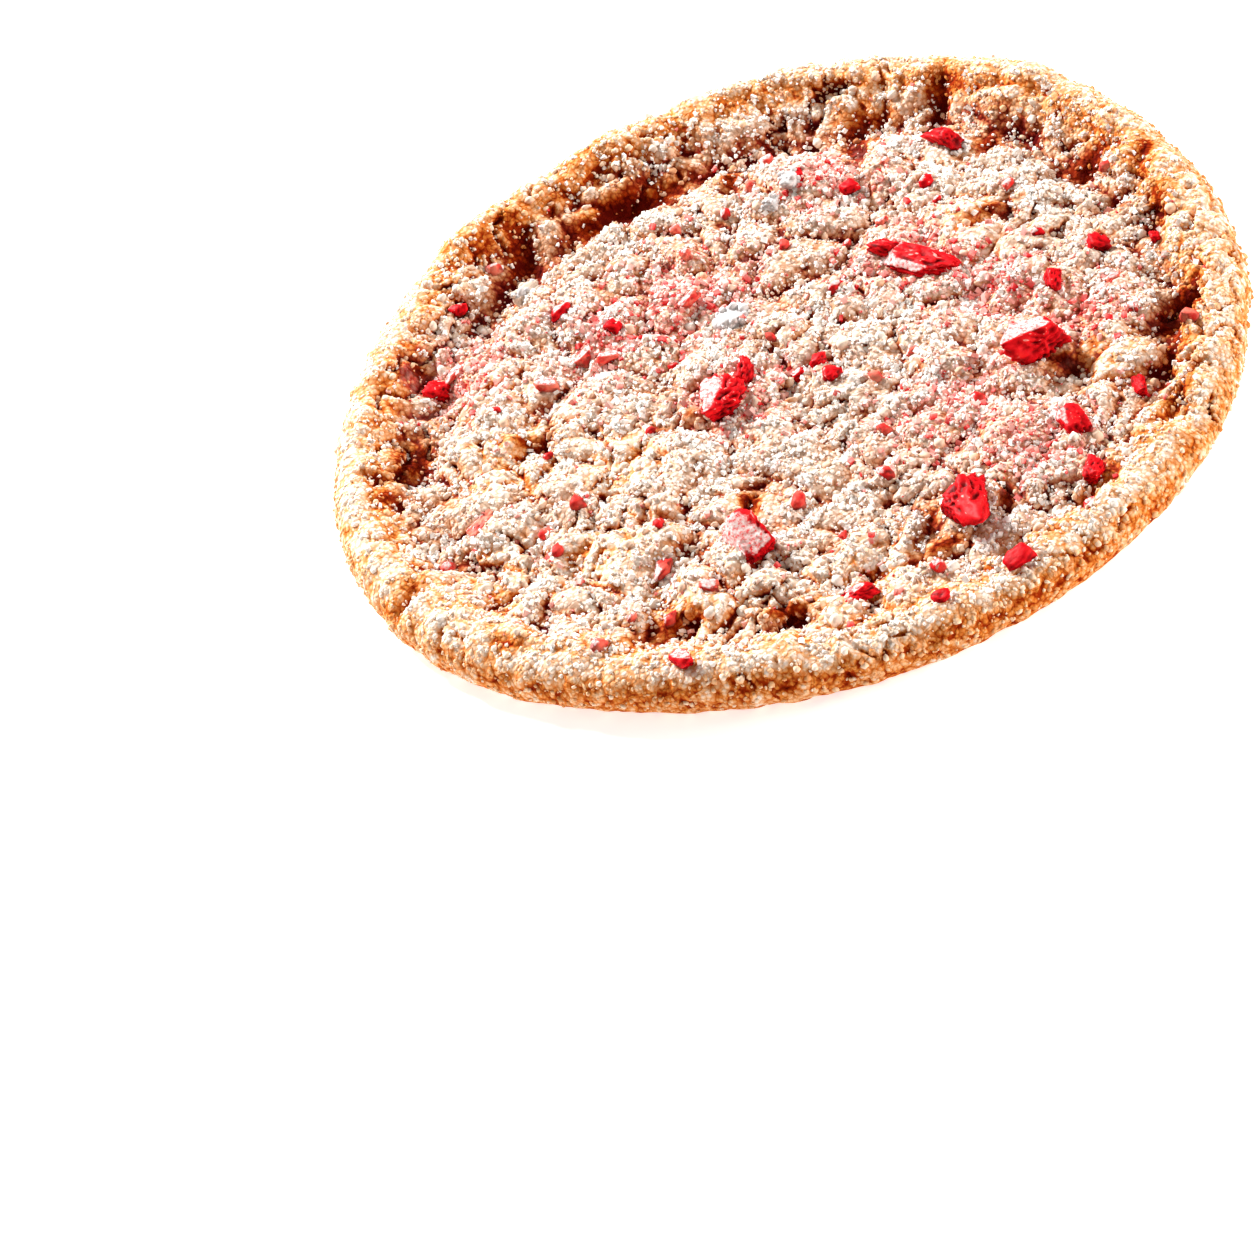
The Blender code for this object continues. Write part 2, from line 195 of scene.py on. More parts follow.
# How a clump of sugar is heaped: lobes on a core, sized as shares of its length.
CLUMP_CORE = 0.82
CLUMP_FINENESS = 4
CLUMP_TILTS = (0.1, 0.1)
LOBES = 34
LOBE_FINENESS = 2
LOBE_SIZES = (0.05, 0.13)
LOBE_STRETCH = (0.7, 1.2)
LOBE_RAGGEDNESS = (0.88, 1.12)
LOBE_SHADE = 0.8

# Fine relief of the crumb, in millimetres unless it is a share.
NODULES = ((1.9, 0.16), (0.9, 0.08))  # (size, rise), each finer than the last
NODULE_REACH = 0.62  # radius of a nodule's dome, as a share of its size
MEAN_RELIEF = 0.10
SMOOTHEST = 0.45  # where the crumb is least cragged, as a share of the nodules' rise
SMOOTHNESS_SIZE = 3.7
SMOOTHNESS_NOISE = (-0.3, 0.3)  # noise at which the crumb is smoothest, and at which it is most cragged
RUFFLE_SIZE = 1.1
RUFFLE_REACH = 0.35
RUFFLE_LAYERS = (11.0, 23.0, 37.0)
FISSURE_SIZE = 2.7
FISSURE_WIDTH = 0.085
FISSURE_DEPTH = 0.8
FISSURE_LAYER = (5.0, 1.0, 8.0)
STRETCH_SIZE = 6.0  # the fissures come in stretches about this long
STRETCH_NOISE = (-0.05, 0.25)
STRETCH_LAYER = (2.0, 9.0, 4.0)
PORE_SIZE = 0.95
PORE_REACH = 0.34
PORE_DEPTH = 0.22
PORE_LAYER = (3.0, 3.0, 3.0)
SIDE_RELIEF = 0.6  # relief of the edge's side, as a share of the top's
SIDE_LEAN = 0.7  # a surface that leans by this much, as 1 less its normal's z, is all side
FACING_DOWN = -0.95
BASE_LEVEL = 0.05

# Smoothing that finds the hollows: rounds for fine, middling and broad ones, and the middling ones' share.
SMOOTHING_ROUNDS = (6, 54, 240)
MIDDLING_SHARE = 0.6

# The crumb's material reads a darkness, which is 0 where the crumb is pale and 1 in the deepest crevice.
PLAIN_DARKNESS = 0.24
# Painted shade darkens the hollows, broad hollows, slopes, seams and trough; high places are painted lighter.
HOLLOW_PAINTED_SHADE = 3.0
BROAD_PAINTED_SHADE = 0.58
BROAD_BRIGHTEST = -0.08
SLOPE_PAINTED_SHADE = 0.9
SEAM_PAINTED_SHADE = 0.15  # of the creases between the rim's lumps
SEAM_LEVEL = 0.25
TROUGH_PAINTED_SHADE = 0.08
DUSKY_DARKNESS = 0.13

# The rim's crest has a darkness of its own, from its outer side as far in as CREST_REACH.
CREST_DARKNESS = (0.40, 0.03, 20.0)
CREST_EVENNESS = 0.6
CREST_FALL = 0.14  # how much darker its inner side is, and how much paler its outer side
CREST_HALF_WIDTH = 1.2
CREST_REACH = (3.5, 5.5)

# So have the edge's side and the underside.
# The side's darkness swings darker towards the front as painted shade, round its golden bake, and its hollows
# get painted shade.
SIDE_DARKNESS = (0.37, 0.25, -98.0)
SIDE_HOLLOW_PAINTED_SHADE = 2.0
SIDE_REACH = (0.10, 1.15)
BASE_DARKNESS = 0.42
BASE_REACH = (1.0, 3.5)

# Painted shade lies round the pits and on the walls behind them. The less steeply it falls off, the wider it
# is.
PIT_SHADE_STEEPNESS = (0.58, -0.16, 115.0)
PIT_SHADE_SHIFT = (0.9, 1.0)  # how far it lies from its pit: outward along X, and along Y
PIT_SHADE = 0.68
PIT_SHADE_MOST = 0.74
PIT_SHADE_DARKNESS = 0.82
CORE_STEEPNESS = 1.1  # the middle of a place with painted pit shade is painted darker still
CORE_DEPTH = 1.6
CORE_START = 0.80
CORE_PIT_SHADE = 0.9

# Where the crumb takes the rim's colours, and where sugar powders it.
RIM_COLOUR_REACH = (3.0, 6.2)
BARE_COLOUR = 0.68
POWDER_START = 1.3
POWDER_FALL = 2.0
POWDER_INWARD = 1.5


class Grain(NamedTuple):
    """A kind of grain. Its radii run from smallest up by spread, and bias keeps most of them small."""

    name: str
    slot: str
    count: int
    smallest: float
    spread: float
    bias: float
    lift: float  # how far out from the crumb its middle stands, in radii
    stretch: float  # how much longer or shorter than round it may be, as a share
    tint_spread: float  # how far along its colours the random part of its tint reaches
    smooth: bool


RIM_CRUMBS = Grain("rim_crumbs", "crumb", 6500, 0.10, 0.16, 2.0, -0.25, 0.40, 0.50, True)
CRUMB_PEBBLES = Grain("crumb_pebbles", "crumb", 2100, 0.12, 0.26, 2.0, 0.0, 0.35, 0.60, True)
CRUMB_GRAINS = Grain("crumb_grains", "crumb", 6000, 0.08, 0.10, 2.0, 0.10, 0.40, 0.50, True)
SUGAR_GRAINS = Grain("sugar_grains", "sugar", 10500, 0.11, 0.15, 2.0, 0.40, 0.45, 0.55, False)
SUGAR_DUST = Grain("sugar_dust", "sugar", 12500, 0.07, 0.12, 1.5, 0.30, 0.50, 1.10, False)
BERRY_DUST = Grain("berry_dust", "berry", 6000, 0.08, 0.26, 4.0, 0.30, 0.50, 0.80, False)
GRAIN_RAGGEDNESS = 0.22
FOOT_TINT = 0.45  # painted shade: how much further along its colours, towards dark, a grain's tint is at its foot
FOOT_TOP = 0.6  # how far out from its middle, in radii, the foot's painted shade starts

# Grains lie on faces that look up and aren't too low. They gather in heaps, clusters and drifts.
LEAST_UP = 0.05
LEAST_HEIGHT = 0.8
HEAPS = (1.3, 3.0)  # (size, layer of the noise)
CLUSTERS = (2.6, 5.0)
DRIFTS = (8.0, 9.0)
CLEAR_EDGE = 0.8
CLEAR_EDGE_FADE = 0.6  # how fast the grains thicken inside the clear edge, for each millimetre
GATHERING = 2.5  # how much more crumb lies in a hollow of GATHERING_DEPTH
GATHERING_DEPTH = 0.3

# How thickly sugar lies. SUGARY_SIDE and the side where rim crumbs are tinted darker are degrees round the
# edge.
SUGAR_FILM = 0.01
SUGAR_HEAPS = (9.0, 7)  # (how much, how sharply they are set off)
SUGAR_CLUSTERS = (3.0, 5)
SUGAR_DRIFTS = (0.7, 3)
LEVELNESS = 1.6
LEVELNESS_START = 0.25
SUGARY_SIDE = -10.0
PLAIN_EDGE = 0.10  # how much sugar lies outside the fringe, and how much more on the sugary side
SUGARY_EDGE = 0.30
BARE_EDGE = (2.0, 1.2, 110.0)  # how far in from the edge the sugar starts
FRINGE_WIDTH = 4.5
TROUGH_SHELTER = 0.65  # how far the deepest trough keeps sugar off
BARE_SHELTER = 0.6
DUSKY_SHELTER = 0.5
PIT_SHADE_SHELTER = 3  # a power of how little pit shade is painted on the crumb

# Where crumbs and berry dust lie, and what darkens the crumbs' tint.
CRUMB_FILM = 0.1  # strewn evenly, however little gathers it
CRUMB_CLUSTERS = 0.5
PEBBLE_CLUSTERS = 2.0
CLUSTER_FILM = 0.3
BERRY_FILM = 0.03
PINK_SHARPNESS = 1.5
PIT_SHADE_THINNING = 0.6
RIM_CRUMB_REACH = (3.5, 6.0)
RIM_CRUMB_LEAST_UP = -0.4
RIM_CRUMB_LEAST_HEIGHT = 0.5
PEBBLE_REACH = (2.5, 4.5)
PEBBLE_SHRINKAGE = 0.5  # how much smaller they are where pit shade is painted
# Rim crumbs are tinted darker towards this side.
DARKER_TINT_SIDE = 25.0
DARKER_SIDE_TINT = 0.28
SIDE_TINT = 0.58
SIDE_TINT_REACH = 1.3
INNER_TINT = 0.15
PIT_SHADE_RIM_TINT = 0.7
PIT_SHADE_PEBBLE_TINT = 0.8
DRIFT_TINT = 0.3
FRINGE_TINT = 0.2

# Mesh density of the crumb.
TOP_RINGS = 152
UPPER_EDGE_RINGS = 14
LOWER_EDGE_RINGS = 8
BASE_STEP = 0.7
RING_GROWTH = 6  # how many more points each ring has than the ring inside it

# Where berry dust tints the crumb: (x, y, reach).
PINK_PATCHES = (
    (-4.5, 9.8, 5.0),
    (-11.4, 8.9, 4.5),
    (15.5, -0.9, 4.0),
    (20.6, -6.4, 3.5),
    (10.5, -12.2, 5.0),
    (-4.3, -2.8, 4.0),
    (11.1, 5.4, 4.5),
    (7.5, 18.0, 4.0),
    (-22.0, 11.0, 4.0),
    (14.0, -18.0, 4.0),
)

# Where the crumb is bare and golden: (x, y, reach).
BARE_PATCHES = (
    (-20.0, -1.0, 5.5),
    (-12.5, -5.0, 4.5),
    (-15.0, -14.0, 5.5),
    (-22.5, -13.0, 6.0),
    (-11.0, -22.5, 6.0),
    (0.0, -25.0, 5.5),
    (-20.0, 8.0, 4.0),
    (21.0, -12.0, 4.0),
    (12.0, 25.0, 3.6),
    (15.0, 8.0, 4.0),
)

# Where it is duller: (x, y, reach).
DUSKY_PATCHES = (
    (-4.0, 15.0, 7.0),
    (13.0, -17.0, 6.0),
    (20.0, -8.0, 5.0),
    (2.0, 9.0, 6.0),
    (-19.0, 24.0, 7.0),
    (-10.0, 29.0, 5.0),
)

# Colours along the darkness of the crumb, inside the rim and on it, as (position, colour).
INSIDE_COLOURS = (
    (0.10, (0.83, 0.69, 0.58)),
    (0.32, (0.79, 0.58, 0.46)),
    (0.48, (0.74, 0.43, 0.26)),
    (0.64, (0.52, 0.18, 0.07)),
    (0.80, (0.25, 0.022, 0.008)),
    (1.00, (0.08, 0.001, 0.001)),
)
RIM_COLOURS = (
    (0.08, (0.90, 0.82, 0.74)),
    (0.28, (0.88, 0.71, 0.59)),
    (0.44, (0.83, 0.46, 0.23)),
    (0.60, (0.66, 0.21, 0.035)),
    (0.76, (0.32, 0.03, 0.001)),
    (1.00, (0.10, 0.003, 0.0)),
)
PALE_PINK = (0.84, 0.40, 0.33)
DEEP_PINK = (0.78, 0.13, 0.11)
POWDER_COLOUR = (0.90, 0.78, 0.68)
# Painted shade in the gaps between granules, inside the rim and on it.
INSIDE_GAP_SHADE = (0.60, 0.45, 0.34)
RIM_GAP_SHADE = (0.78, 0.53, 0.34)
CRACK_SWIRLS = 1.5  # how many swirls of the fine cracks' wandering one mesh of their net is wide
CRACK_WANDER = 0.5  # how far they wander, as a share of a mesh

# Colours of the berry along its folds, from deep to high, where the deep folds and the foot get painted
# shade, and of its dusty faces along their speckles.
BERRY_COLOURS = (
    (0.00, (0.15, 0.0, 0.001)),
    (0.35, (0.44, 0.001, 0.004)),
    (0.70, (0.68, 0.004, 0.010)),
    (0.94, (0.76, 0.015, 0.015)),
    (1.00, (0.82, 0.34, 0.31)),
)
DUSTY_COLOURS = (
    (0.36, (0.72, 0.03, 0.03)),
    (0.44, (0.76, 0.26, 0.25)),
    (0.52, (0.78, 0.51, 0.49)),
    (0.64, (0.82, 0.72, 0.70)),
)
FADED_BERRY = (0.88, 0.30, 0.20)

# Colours along the grains' tints.
CLUMP_COLOURS = (
    (0.1, (0.65, 0.63, 0.63)),
    (0.8, (0.44, 0.41, 0.41)),
    (0.9, (0.72, 0.62, 0.54)),
    (1.0, (0.66, 0.52, 0.42)),
)
SUGAR_COLOURS = (
    (0.1, (0.94, 0.92, 0.90)),
    (0.6, (0.89, 0.86, 0.82)),
    (0.9, (0.81, 0.68, 0.58)),
    (1.0, (0.72, 0.50, 0.40)),
)
CRUMB_COLOURS = (
    (0.0, (0.84, 0.75, 0.65)),
    (0.4, (0.80, 0.61, 0.48)),
    (0.75, (0.70, 0.39, 0.24)),
    (1.0, (0.45, 0.13, 0.05)),
)
DUST_COLOURS = (
    (0.0, (0.90, 0.62, 0.57)),
    (0.55, (0.86, 0.38, 0.33)),
    (0.85, (0.80, 0.07, 0.07)),
    (1.0, (0.66, 0.004, 0.01)),
)
PEBBLE_COLOURS = (
    (0.00, (0.83, 0.78, 0.72)),
    (0.30, (0.82, 0.69, 0.57)),
    (0.55, (0.77, 0.53, 0.38)),
    (0.75, (0.70, 0.37, 0.20)),
    (1.00, (0.42, 0.12, 0.04)),
)
RIM_CRUMB_COLOURS = (
    (0.00, (0.91, 0.86, 0.81)),
    (0.35, (0.89, 0.74, 0.60)),
    (0.65, (0.83, 0.50, 0.27)),
    (1.00, (0.64, 0.22, 0.05)),
)

# The photograph's view: the cookie's place, turn and tilt in its frame of 1254 pixels.
FRAME_PIXELS = 1254
CAMERA_ELEVATION = 37.9
CAMERA_ROLL = 19.67
CAMERA_DISTANCE = 350.0
CAMERA_TARGET = (0.0, 0.0, 3.0)
TARGET_PIXEL = (776.0, 360.75)
FOCAL_PIXELS = 5005.5
SENSOR_WIDTH = 36.0

# The stage. Its lengths are metres.
NEAREST_SEEN = 0.01
FLOOR_SIZE = 4.0
FLOOR_GLOW = 0.65
ROOM_LIGHT = 0.38


# ---- the solid's form


def swing(driver, angle):
    """A value that is strongest on one side of the cookie."""
    mean, size, strong_side = driver
    return mean + size * math.cos(angle - math.radians(strong_side))


def outline(angle):
    """Radius of the widest part of the edge."""
    waves = (size * math.cos(count * (angle - math.radians(crest))) for count, size, crest in OUTLINE_WAVES)
    return RADIUS + sum(waves)


def bell(distance, width):
    return math.exp(-((distance / width) ** 2))


def pit_depth(x, y, steepness=PIT_STEEPNESS):
    """How far the listed pits lower the top. They overlap without adding up."""
    deepest = 0.0
    for pit_x, pit_y, length, width, depth, heading in PITS:
        turn = math.radians(heading)
        along = (x - pit_x) * math.cos(turn) + (y - pit_y) * math.sin(turn)
        across = (y - pit_y) * math.cos(turn) - (x - pit_x) * math.sin(turn)
        reach = (2 * along / length) ** 2 + (2 * across / width) ** 2
        deepest = max(deepest, depth * math.exp(-reach * steepness))
    return deepest


def lumps(x, y):
    """Domes of crumb with creases between them, pushed about so that they aren't even."""
    shifts = [noise.noise(Vector((x, y, layer)) / WARP_SIZE) for layer in WARP_LAYERS]
    place = Vector((x, y, 0.0)) + Vector((shifts[0], shifts[1], 0.0)) * WARP_REACH
    distances = noise.voronoi(place / LUMP_SIZE)[0]
    dome = 1.0 - min(1.0, distances[0] / DOME_REACH) ** 2
    openness = min(1.0, (distances[1] - distances[0]) / CREASE_SHARE)
    fade = 0.5 + 0.5 * noise.noise(place / SWELL_SIZE)
    depth = SHALLOWEST_CREASE + (1.0 - SHALLOWEST_CREASE) * fade
    crease = depth * (1.0 - openness) ** 2
    return LUMP_RISE * (DOME_SHARE * dome + (1.0 - DOME_SHARE) * (1.0 - crease))


def knobs(place):
    """Fine lumpiness, mostly between -1 and 1."""
    return noise.fractal(place / KNOB_SIZE, KNOB_FALLOFF, KNOB_SCALING, KNOB_LAYERS)


def trough_depth(x, y):
    angle = math.atan2(y, x)
    inset = outline(angle) - math.hypot(x, y)
    return swing(TROUGH_DEPTH, angle) * bell(inset - swing(TROUGH_INSET, angle), TROUGH_WIDTH)


def kept_thick(height):
    """The height, or where it is low a gentler one that stays above THINNEST."""
    excess = height - THINNEST - EASING
    return height if excess > 0 else THINNEST + EASING * math.exp(excess / EASING)


def top_height(x, y):
    """Height of the cookie's top over its base, inside the rim's crest."""
    angle = math.atan2(y, x)
    inset = outline(angle) - math.hypot(x, y)
    rim = swing(RIM_RISE, angle) * bell(inset - RIM_ROUND, RIM_WIDTH)
    trough = trough_depth(x, y)
    swell = SWELL_RISE * noise.noise(Vector((x, y, 9.0)) / SWELL_SIZE)
    fine = KNOB_RISE * knobs(Vector((x, y, 0.0)))
    calm = 1.0 - RIM_CALM * bell(inset - RIM_ROUND, RIM_WIDTH)
    crumb = calm * (lumps(x, y) - LUMP_RISE)
    return kept_thick(PLATEAU_HEIGHT + rim - trough + swell + fine + crumb - pit_depth(x, y))


def top_point(angle, share):
    """A point of the top. share is 0 in the middle and 1 at the rim's crest."""
    radius = share * (outline(angle) - RIM_ROUND)
    x, y = radius * math.cos(angle), radius * math.sin(angle)
    return Vector((x, y, top_height(x, y)))


def edge_point(angle, roll):
    """A point of the rounded edge. roll turns from 90 degrees at the crest to -90 degrees at the foot."""
    widest = outline(angle)
    if roll >= 0:
        rise = top_point(angle, 1.0).z - EDGE_HEIGHT
        radius = widest - RIM_ROUND * (1.0 - math.cos(roll))
    else:
        rise = EDGE_HEIGHT
        radius = widest - FOOT_ROUND * (1.0 - math.cos(roll))
    height = EDGE_HEIGHT + rise * math.sin(roll)
    direction = Vector((math.cos(angle), math.sin(angle), 0.0))
    place = direction * radius + Vector((0.0, 0.0, height))
    outward = direction * math.cos(roll) + Vector((0.0, 0.0, math.sin(roll)))
    return place + outward * (RIM_KNOB_RISE * knobs(place) * math.cos(roll))


def base_point(angle, radius):
    return Vector((radius * math.cos(angle), radius * math.sin(angle), 0.0))


# ---- the crumb's mesh


def ring_angles(count):
    return [2.0 * math.pi * step / count for step in range(count)]


def body_rings():
    """The rings of points from the middle of the top, over the edge, to the middle of the base."""
    rings = [[top_point(0.0, 0.0)]]
    for ring in range(1, TOP_RINGS + 1):
        rings.append([top_point(angle, ring / TOP_RINGS) for angle in ring_angles(RING_GROWTH * ring)])
    rolls = [90.0 - 90.0 * step / UPPER_EDGE_RINGS for step in range(1, UPPER_EDGE_RINGS + 1)]
    rolls += [-90.0 * step / LOWER_EDGE_RINGS for step in range(1, LOWER_EDGE_RINGS + 1)]
    crest_angles = ring_angles(RING_GROWTH * TOP_RINGS)
    for roll in rolls:
        rings.append([edge_point(angle, math.radians(roll)) for angle in crest_angles])
    foot_rings = int((RADIUS - FOOT_ROUND) / BASE_STEP)
    for ring in range(foot_rings - 1, 0, -1):
        share = ring / foot_rings
        angles = ring_angles(RING_GROWTH * ring)
        rings.append([base_point(angle, share * (outline(angle) - FOOT_ROUND)) for angle in angles])
    rings.append([Vector((0.0, 0.0, 0.0))])
    return rings


def stitched(first, first_count, second, second_count):
    """Triangles between two rings of points, given each ring's first number and count."""
    toward_second = (np.arange(second_count) + 0.5) / second_count
    toward_first = (np.arange(first_count) + 0.5) / first_count
    met = np.searchsorted(toward_first, toward_second)
    second_steps = np.arange(second_count)
    widening = np.stack([
        first + met % first_count,
        second + second_steps,
        second + (second_steps + 1) % second_count,
    ], 1)
    met = np.searchsorted(toward_second, toward_first, side="right")
    first_steps = np.arange(first_count)
    narrowing = np.stack([
        first + first_steps,
        second + met % second_count,
        first + (first_steps + 1) % first_count,
    ], 1)
    faces = np.concatenate([widening, narrowing])
    flat = (faces[:, 0] == faces[:, 1]) | (faces[:, 1] == faces[:, 2]) | (faces[:, 2] == faces[:, 0])
    return faces[~flat]


def surface_arrays(rings):
    """The rings as an array of points and an array of triangles."""
    points = np.array([point for ring in rings for point in ring])
    starts = np.cumsum([0] + [len(ring) for ring in rings])
    faces = [
        stitched(starts[i], len(rings[i]), starts[i + 1], len(rings[i + 1])) for i in range(len(rings) - 1)
    ]
    return points, np.concatenate(faces)


def vertex_normals(points, faces):
    a, b, c = (points[faces[:, k]] for k in range(3))
    across = np.cross(b - a, c - a)
    normals = np.zeros_like(points)
    for k in range(3):
        for axis in range(3):
            normals[:, axis] += np.bincount(faces[:, k], across[:, axis], len(points))
    return normals / np.linalg.norm(normals, axis=1, keepdims=True)


def smoothed(points, faces, rounds):
    """The points after each has moved half way to its neighbours' mean, several times over."""
    here = faces.ravel()
    there = np.roll(faces, -1, axis=1).ravel()
    neighbours = np.bincount(here, minlength=len(points))[:, None]
    for _ in range(rounds):
        total = np.stack([np.bincount(here, points[there, axis], len(points)) for axis in range(3)], 1)
        points = 0.5 * points + 0.5 * total / neighbours
    return points


def nodules(place):
    """Rounded bits of crumb of several sizes that crowd each other."""
    rise = 0.0
    for size, height in NODULES:
        nearest = noise.voronoi(place / size)[0][0] / NODULE_REACH
        if nearest < 1.0:
            rise += height * math.sqrt(1.0 - nearest * nearest)
    return rise


def smoothstep(low, high, value):
    share = min(1.0, max(0.0, (value - low) / (high - low)))
    return share * share * (3.0 - 2.0 * share)


def fissures(place):
    """Winding cracks, in stretches."""
    crack = 1.0 - abs(noise.noise(place / FISSURE_SIZE + Vector(FISSURE_LAYER))) / FISSURE_WIDTH
    if crack <= 0.0:
        return 0.0
    stretch = smoothstep(*STRETCH_NOISE, noise.noise(place / STRETCH_SIZE + Vector(STRETCH_LAYER)))
    return FISSURE_DEPTH * crack * stretch


def pores(place):
    nearest = noise.voronoi(place / PORE_SIZE + Vector(PORE_LAYER))[0][0]
    return PORE_DEPTH * max(0.0, 1.0 - nearest / PORE_REACH)


def fine_relief(point, outer):
    """How far the crumb stands out from the solid's form. outer is 0 on the top and 1 on the edge's side."""
    place = Vector(point)
    shift = [noise.noise(place / RUFFLE_SIZE + Vector((layer, 0.0, 0.0))) for layer in RUFFLE_LAYERS]
    ruffled = place + Vector(shift) * RUFFLE_REACH
    roughness = smoothstep(*SMOOTHNESS_NOISE, noise.noise(place / SMOOTHNESS_SIZE))
    crags = SMOOTHEST + (1.0 - SMOOTHEST) * roughness
    crumb = crags * nodules(ruffled) - MEAN_RELIEF
    top = crumb - fissures(ruffled)
    side = SIDE_RELIEF * crumb - pores(place)
    return top + (side - top) * outer


class Crumb(NamedTuple):
    """The crumb's mesh, with what was measured at each of its points."""

    points: np.ndarray
    faces: np.ndarray
    normals: np.ndarray
    inset: np.ndarray  # how far in from the outline
    hollow: np.ndarray  # how deep in a fine crevice
    deep: np.ndarray  # how deep in a broad hollow
    slope: np.ndarray

    @property
    def places(self):
        return self.points[:, :2]

    @property
    def angles(self):
        return np.arctan2(self.points[:, 1], self.points[:, 0])

    @property
    def upper(self):
        return self.normals[:, 2] > 0


def crumb_surface():
    """The solid's form with the crumb's fine relief on it."""
    points, faces = surface_arrays(body_rings())
    normals = vertex_normals(points, faces)
    angle = np.arctan2(points[:, 1], points[:, 0])
    inset = np.array([outline(a) for a in angle]) - np.hypot(points[:, 0], points[:, 1])
    outer = np.clip((1.0 - normals[:, 2]) / SIDE_LEAN, 0.0, 1.0) * (inset < RIM_ROUND)
    relief = np.array([fine_relief(point, share) for point, share in zip(points, outer)])
    underside = (normals[:, 2] < FACING_DOWN) & (points[:, 2] < BASE_LEVEL)
    relief[underside] = -np.array([pores(Vector(point)) for point in points[underside]])
    points = points + normals * relief[:, None]
    points[:, 2] = np.maximum(points[:, 2], 0.0)
    normals = vertex_normals(points, faces)
    return Crumb(points, faces, normals, inset, *hollows(points, faces, normals))


def hollows(points, faces, normals):
    """How far each point lies below its smoothed surroundings, near and far, and how steep it is there."""
    fine_rounds, middling_rounds, broad_rounds = SMOOTHING_ROUNDS
    fine = smoothed(points, faces, fine_rounds)
    middling = smoothed(fine, faces, middling_rounds)
    broad = smoothed(middling, faces, broad_rounds)
    surroundings = MIDDLING_SHARE * middling + (1.0 - MIDDLING_SHARE) * broad
    hollow = np.sum((fine - points) * normals, 1)
    deep = np.sum((surroundings - points) * normals, 1)
    slope = 1.0 - vertex_normals(fine, faces)[:, 2]
    return hollow, deep, slope


# ---- meshes from arrays


def new_piece(name, points, faces, material, smooth, values):
    """A mesh object from arrays in millimetres round the outline's centre.

    values are numbers at its points, by name, for its material to read.
    """
    mesh = bpy.data.meshes.new(name)
    placed = (np.asarray(points) + (*OUTLINE_CENTRE, 0.0)) * MM
    mesh.vertices.add(len(placed))
    mesh.vertices.foreach_set("co", placed.astype(np.float32).ravel())
    mesh.loops.add(faces.size)
    mesh.loops.foreach_set("vertex_index", faces.astype(np.int32).ravel())
    mesh.polygons.add(len(faces))
    mesh.polygons.foreach_set("loop_start", np.arange(0, faces.size, faces.shape[1], dtype=np.int32))
    mesh.polygons.foreach_set("use_smooth", np.full(len(faces), smooth))
    mesh.update(calc_edges=True)
    mesh.validate()
    for value_name, numbers in values.items():
        attribute = mesh.attributes.new(value_name, "FLOAT", "POINT")
        attribute.data.foreach_set("value", np.asarray(numbers, np.float32))
    mesh.materials.append(material)
    piece = bpy.data.objects.new(name, mesh)
    bpy.context.scene.collection.objects.link(piece)
    return piece


def ico_arrays(subdivisions):
    """A ball of triangles with radius 1."""
    bm = bmesh.new()
    bmesh.ops.create_icosphere(bm, subdivisions=subdivisions, radius=1.0)
    points = np.array([vertex.co for vertex in bm.verts])
    faces = np.array([[vertex.index for vertex in face.verts] for face in bm.faces])
    bm.free()
    return points, faces


def box_arrays():
    """A cube whose corners are at distance 1."""
    corners = np.array([(x, y, z) for x in (-1, 1) for y in (-1, 1) for z in (-1, 1)]) / math.sqrt(3.0)
    faces = np.array([(0, 1, 3, 2), (4, 6, 7, 5), (0, 4, 5, 1), (2, 3, 7, 6), (0, 2, 6, 4), (1, 5, 7, 3)])
    return corners, faces


def octahedron_arrays():
    points = np.array([(1, 0, 0), (-1, 0, 0), (0, 1, 0), (0, -1, 0), (0, 0, 1), (0, 0, -1)], float)
    faces = np.array([(0, 2, 4), (2, 1, 4), (1, 3, 4), (3, 0, 4), (2, 0, 5), (1, 2, 5), (3, 1, 5), (0, 3, 5)])
    return points, faces


def random_turns(rng, count):
    """Rotation matrices, evenly spread."""
    q = rng.normal(size=(count, 4))
    q /= np.linalg.norm(q, axis=1, keepdims=True)
    w, x, y, z = q.T
    rows = [
        [1 - 2 * (y * y + z * z), 2 * (x * y - z * w), 2 * (x * z + y * w)],
        [2 * (x * y + z * w), 1 - 2 * (x * x + z * z), 2 * (y * z - x * w)],
        [2 * (x * z - y * w), 2 * (y * z + x * w), 1 - 2 * (x * x + y * y)],
    ]
    return np.array(rows).transpose(2, 0, 1)


class Ground:
    """The crumb's finished surface, where grains are strewn. What it knows is measured at each face."""

    def __init__(self, crumb, pit_shade):
        corners = crumb.points[crumb.faces]
        across = np.cross(corners[:, 1] - corners[:, 0], corners[:, 2] - corners[:, 0])
        self.crumb = crumb
        self.area = 0.5 * np.linalg.norm(across, axis=1)
        self.middle = corners.mean(1)
        self.up = crumb.normals[crumb.faces, 2].mean(1)
        self.inset = crumb.inset[crumb.faces].mean(1)
        self.deep = crumb.deep[crumb.faces].mean(1)
        self.pit_shade = pit_shade[crumb.faces].mean(1)
        self.angle = np.arctan2(self.middle[:, 1], self.middle[:, 0])
        self.top = (self.up > LEAST_UP) & (self.middle[:, 2] > LEAST_HEIGHT)

    def near(self, patches):
        return near_patches(self.middle, patches)

    def patches(self, size, layer):
        """Soft noise between 0 and 1."""
        shift = Vector((layer, -layer, 2.0 * layer))
        return np.array([0.5 + 0.5 * noise.noise(Vector(place) / size + shift) for place in self.middle])

    def spots(self, rng, density, count):
        """Random spots with that density on the surface: the places, the normals and the faces."""
        weight = self.area * density
        chosen = rng.choice(len(weight), size=count, p=weight / weight.sum())
        share = rng.dirichlet((1.0, 1.0, 1.0), count)
        corners = self.crumb.faces[chosen]
        places = np.einsum("nk,nkx->nx", share, self.crumb.points[corners])
        facing = np.einsum("nk,nkx->nx", share, self.crumb.normals[corners])
        return places, facing / np.linalg.norm(facing, axis=1, keepdims=True), chosen


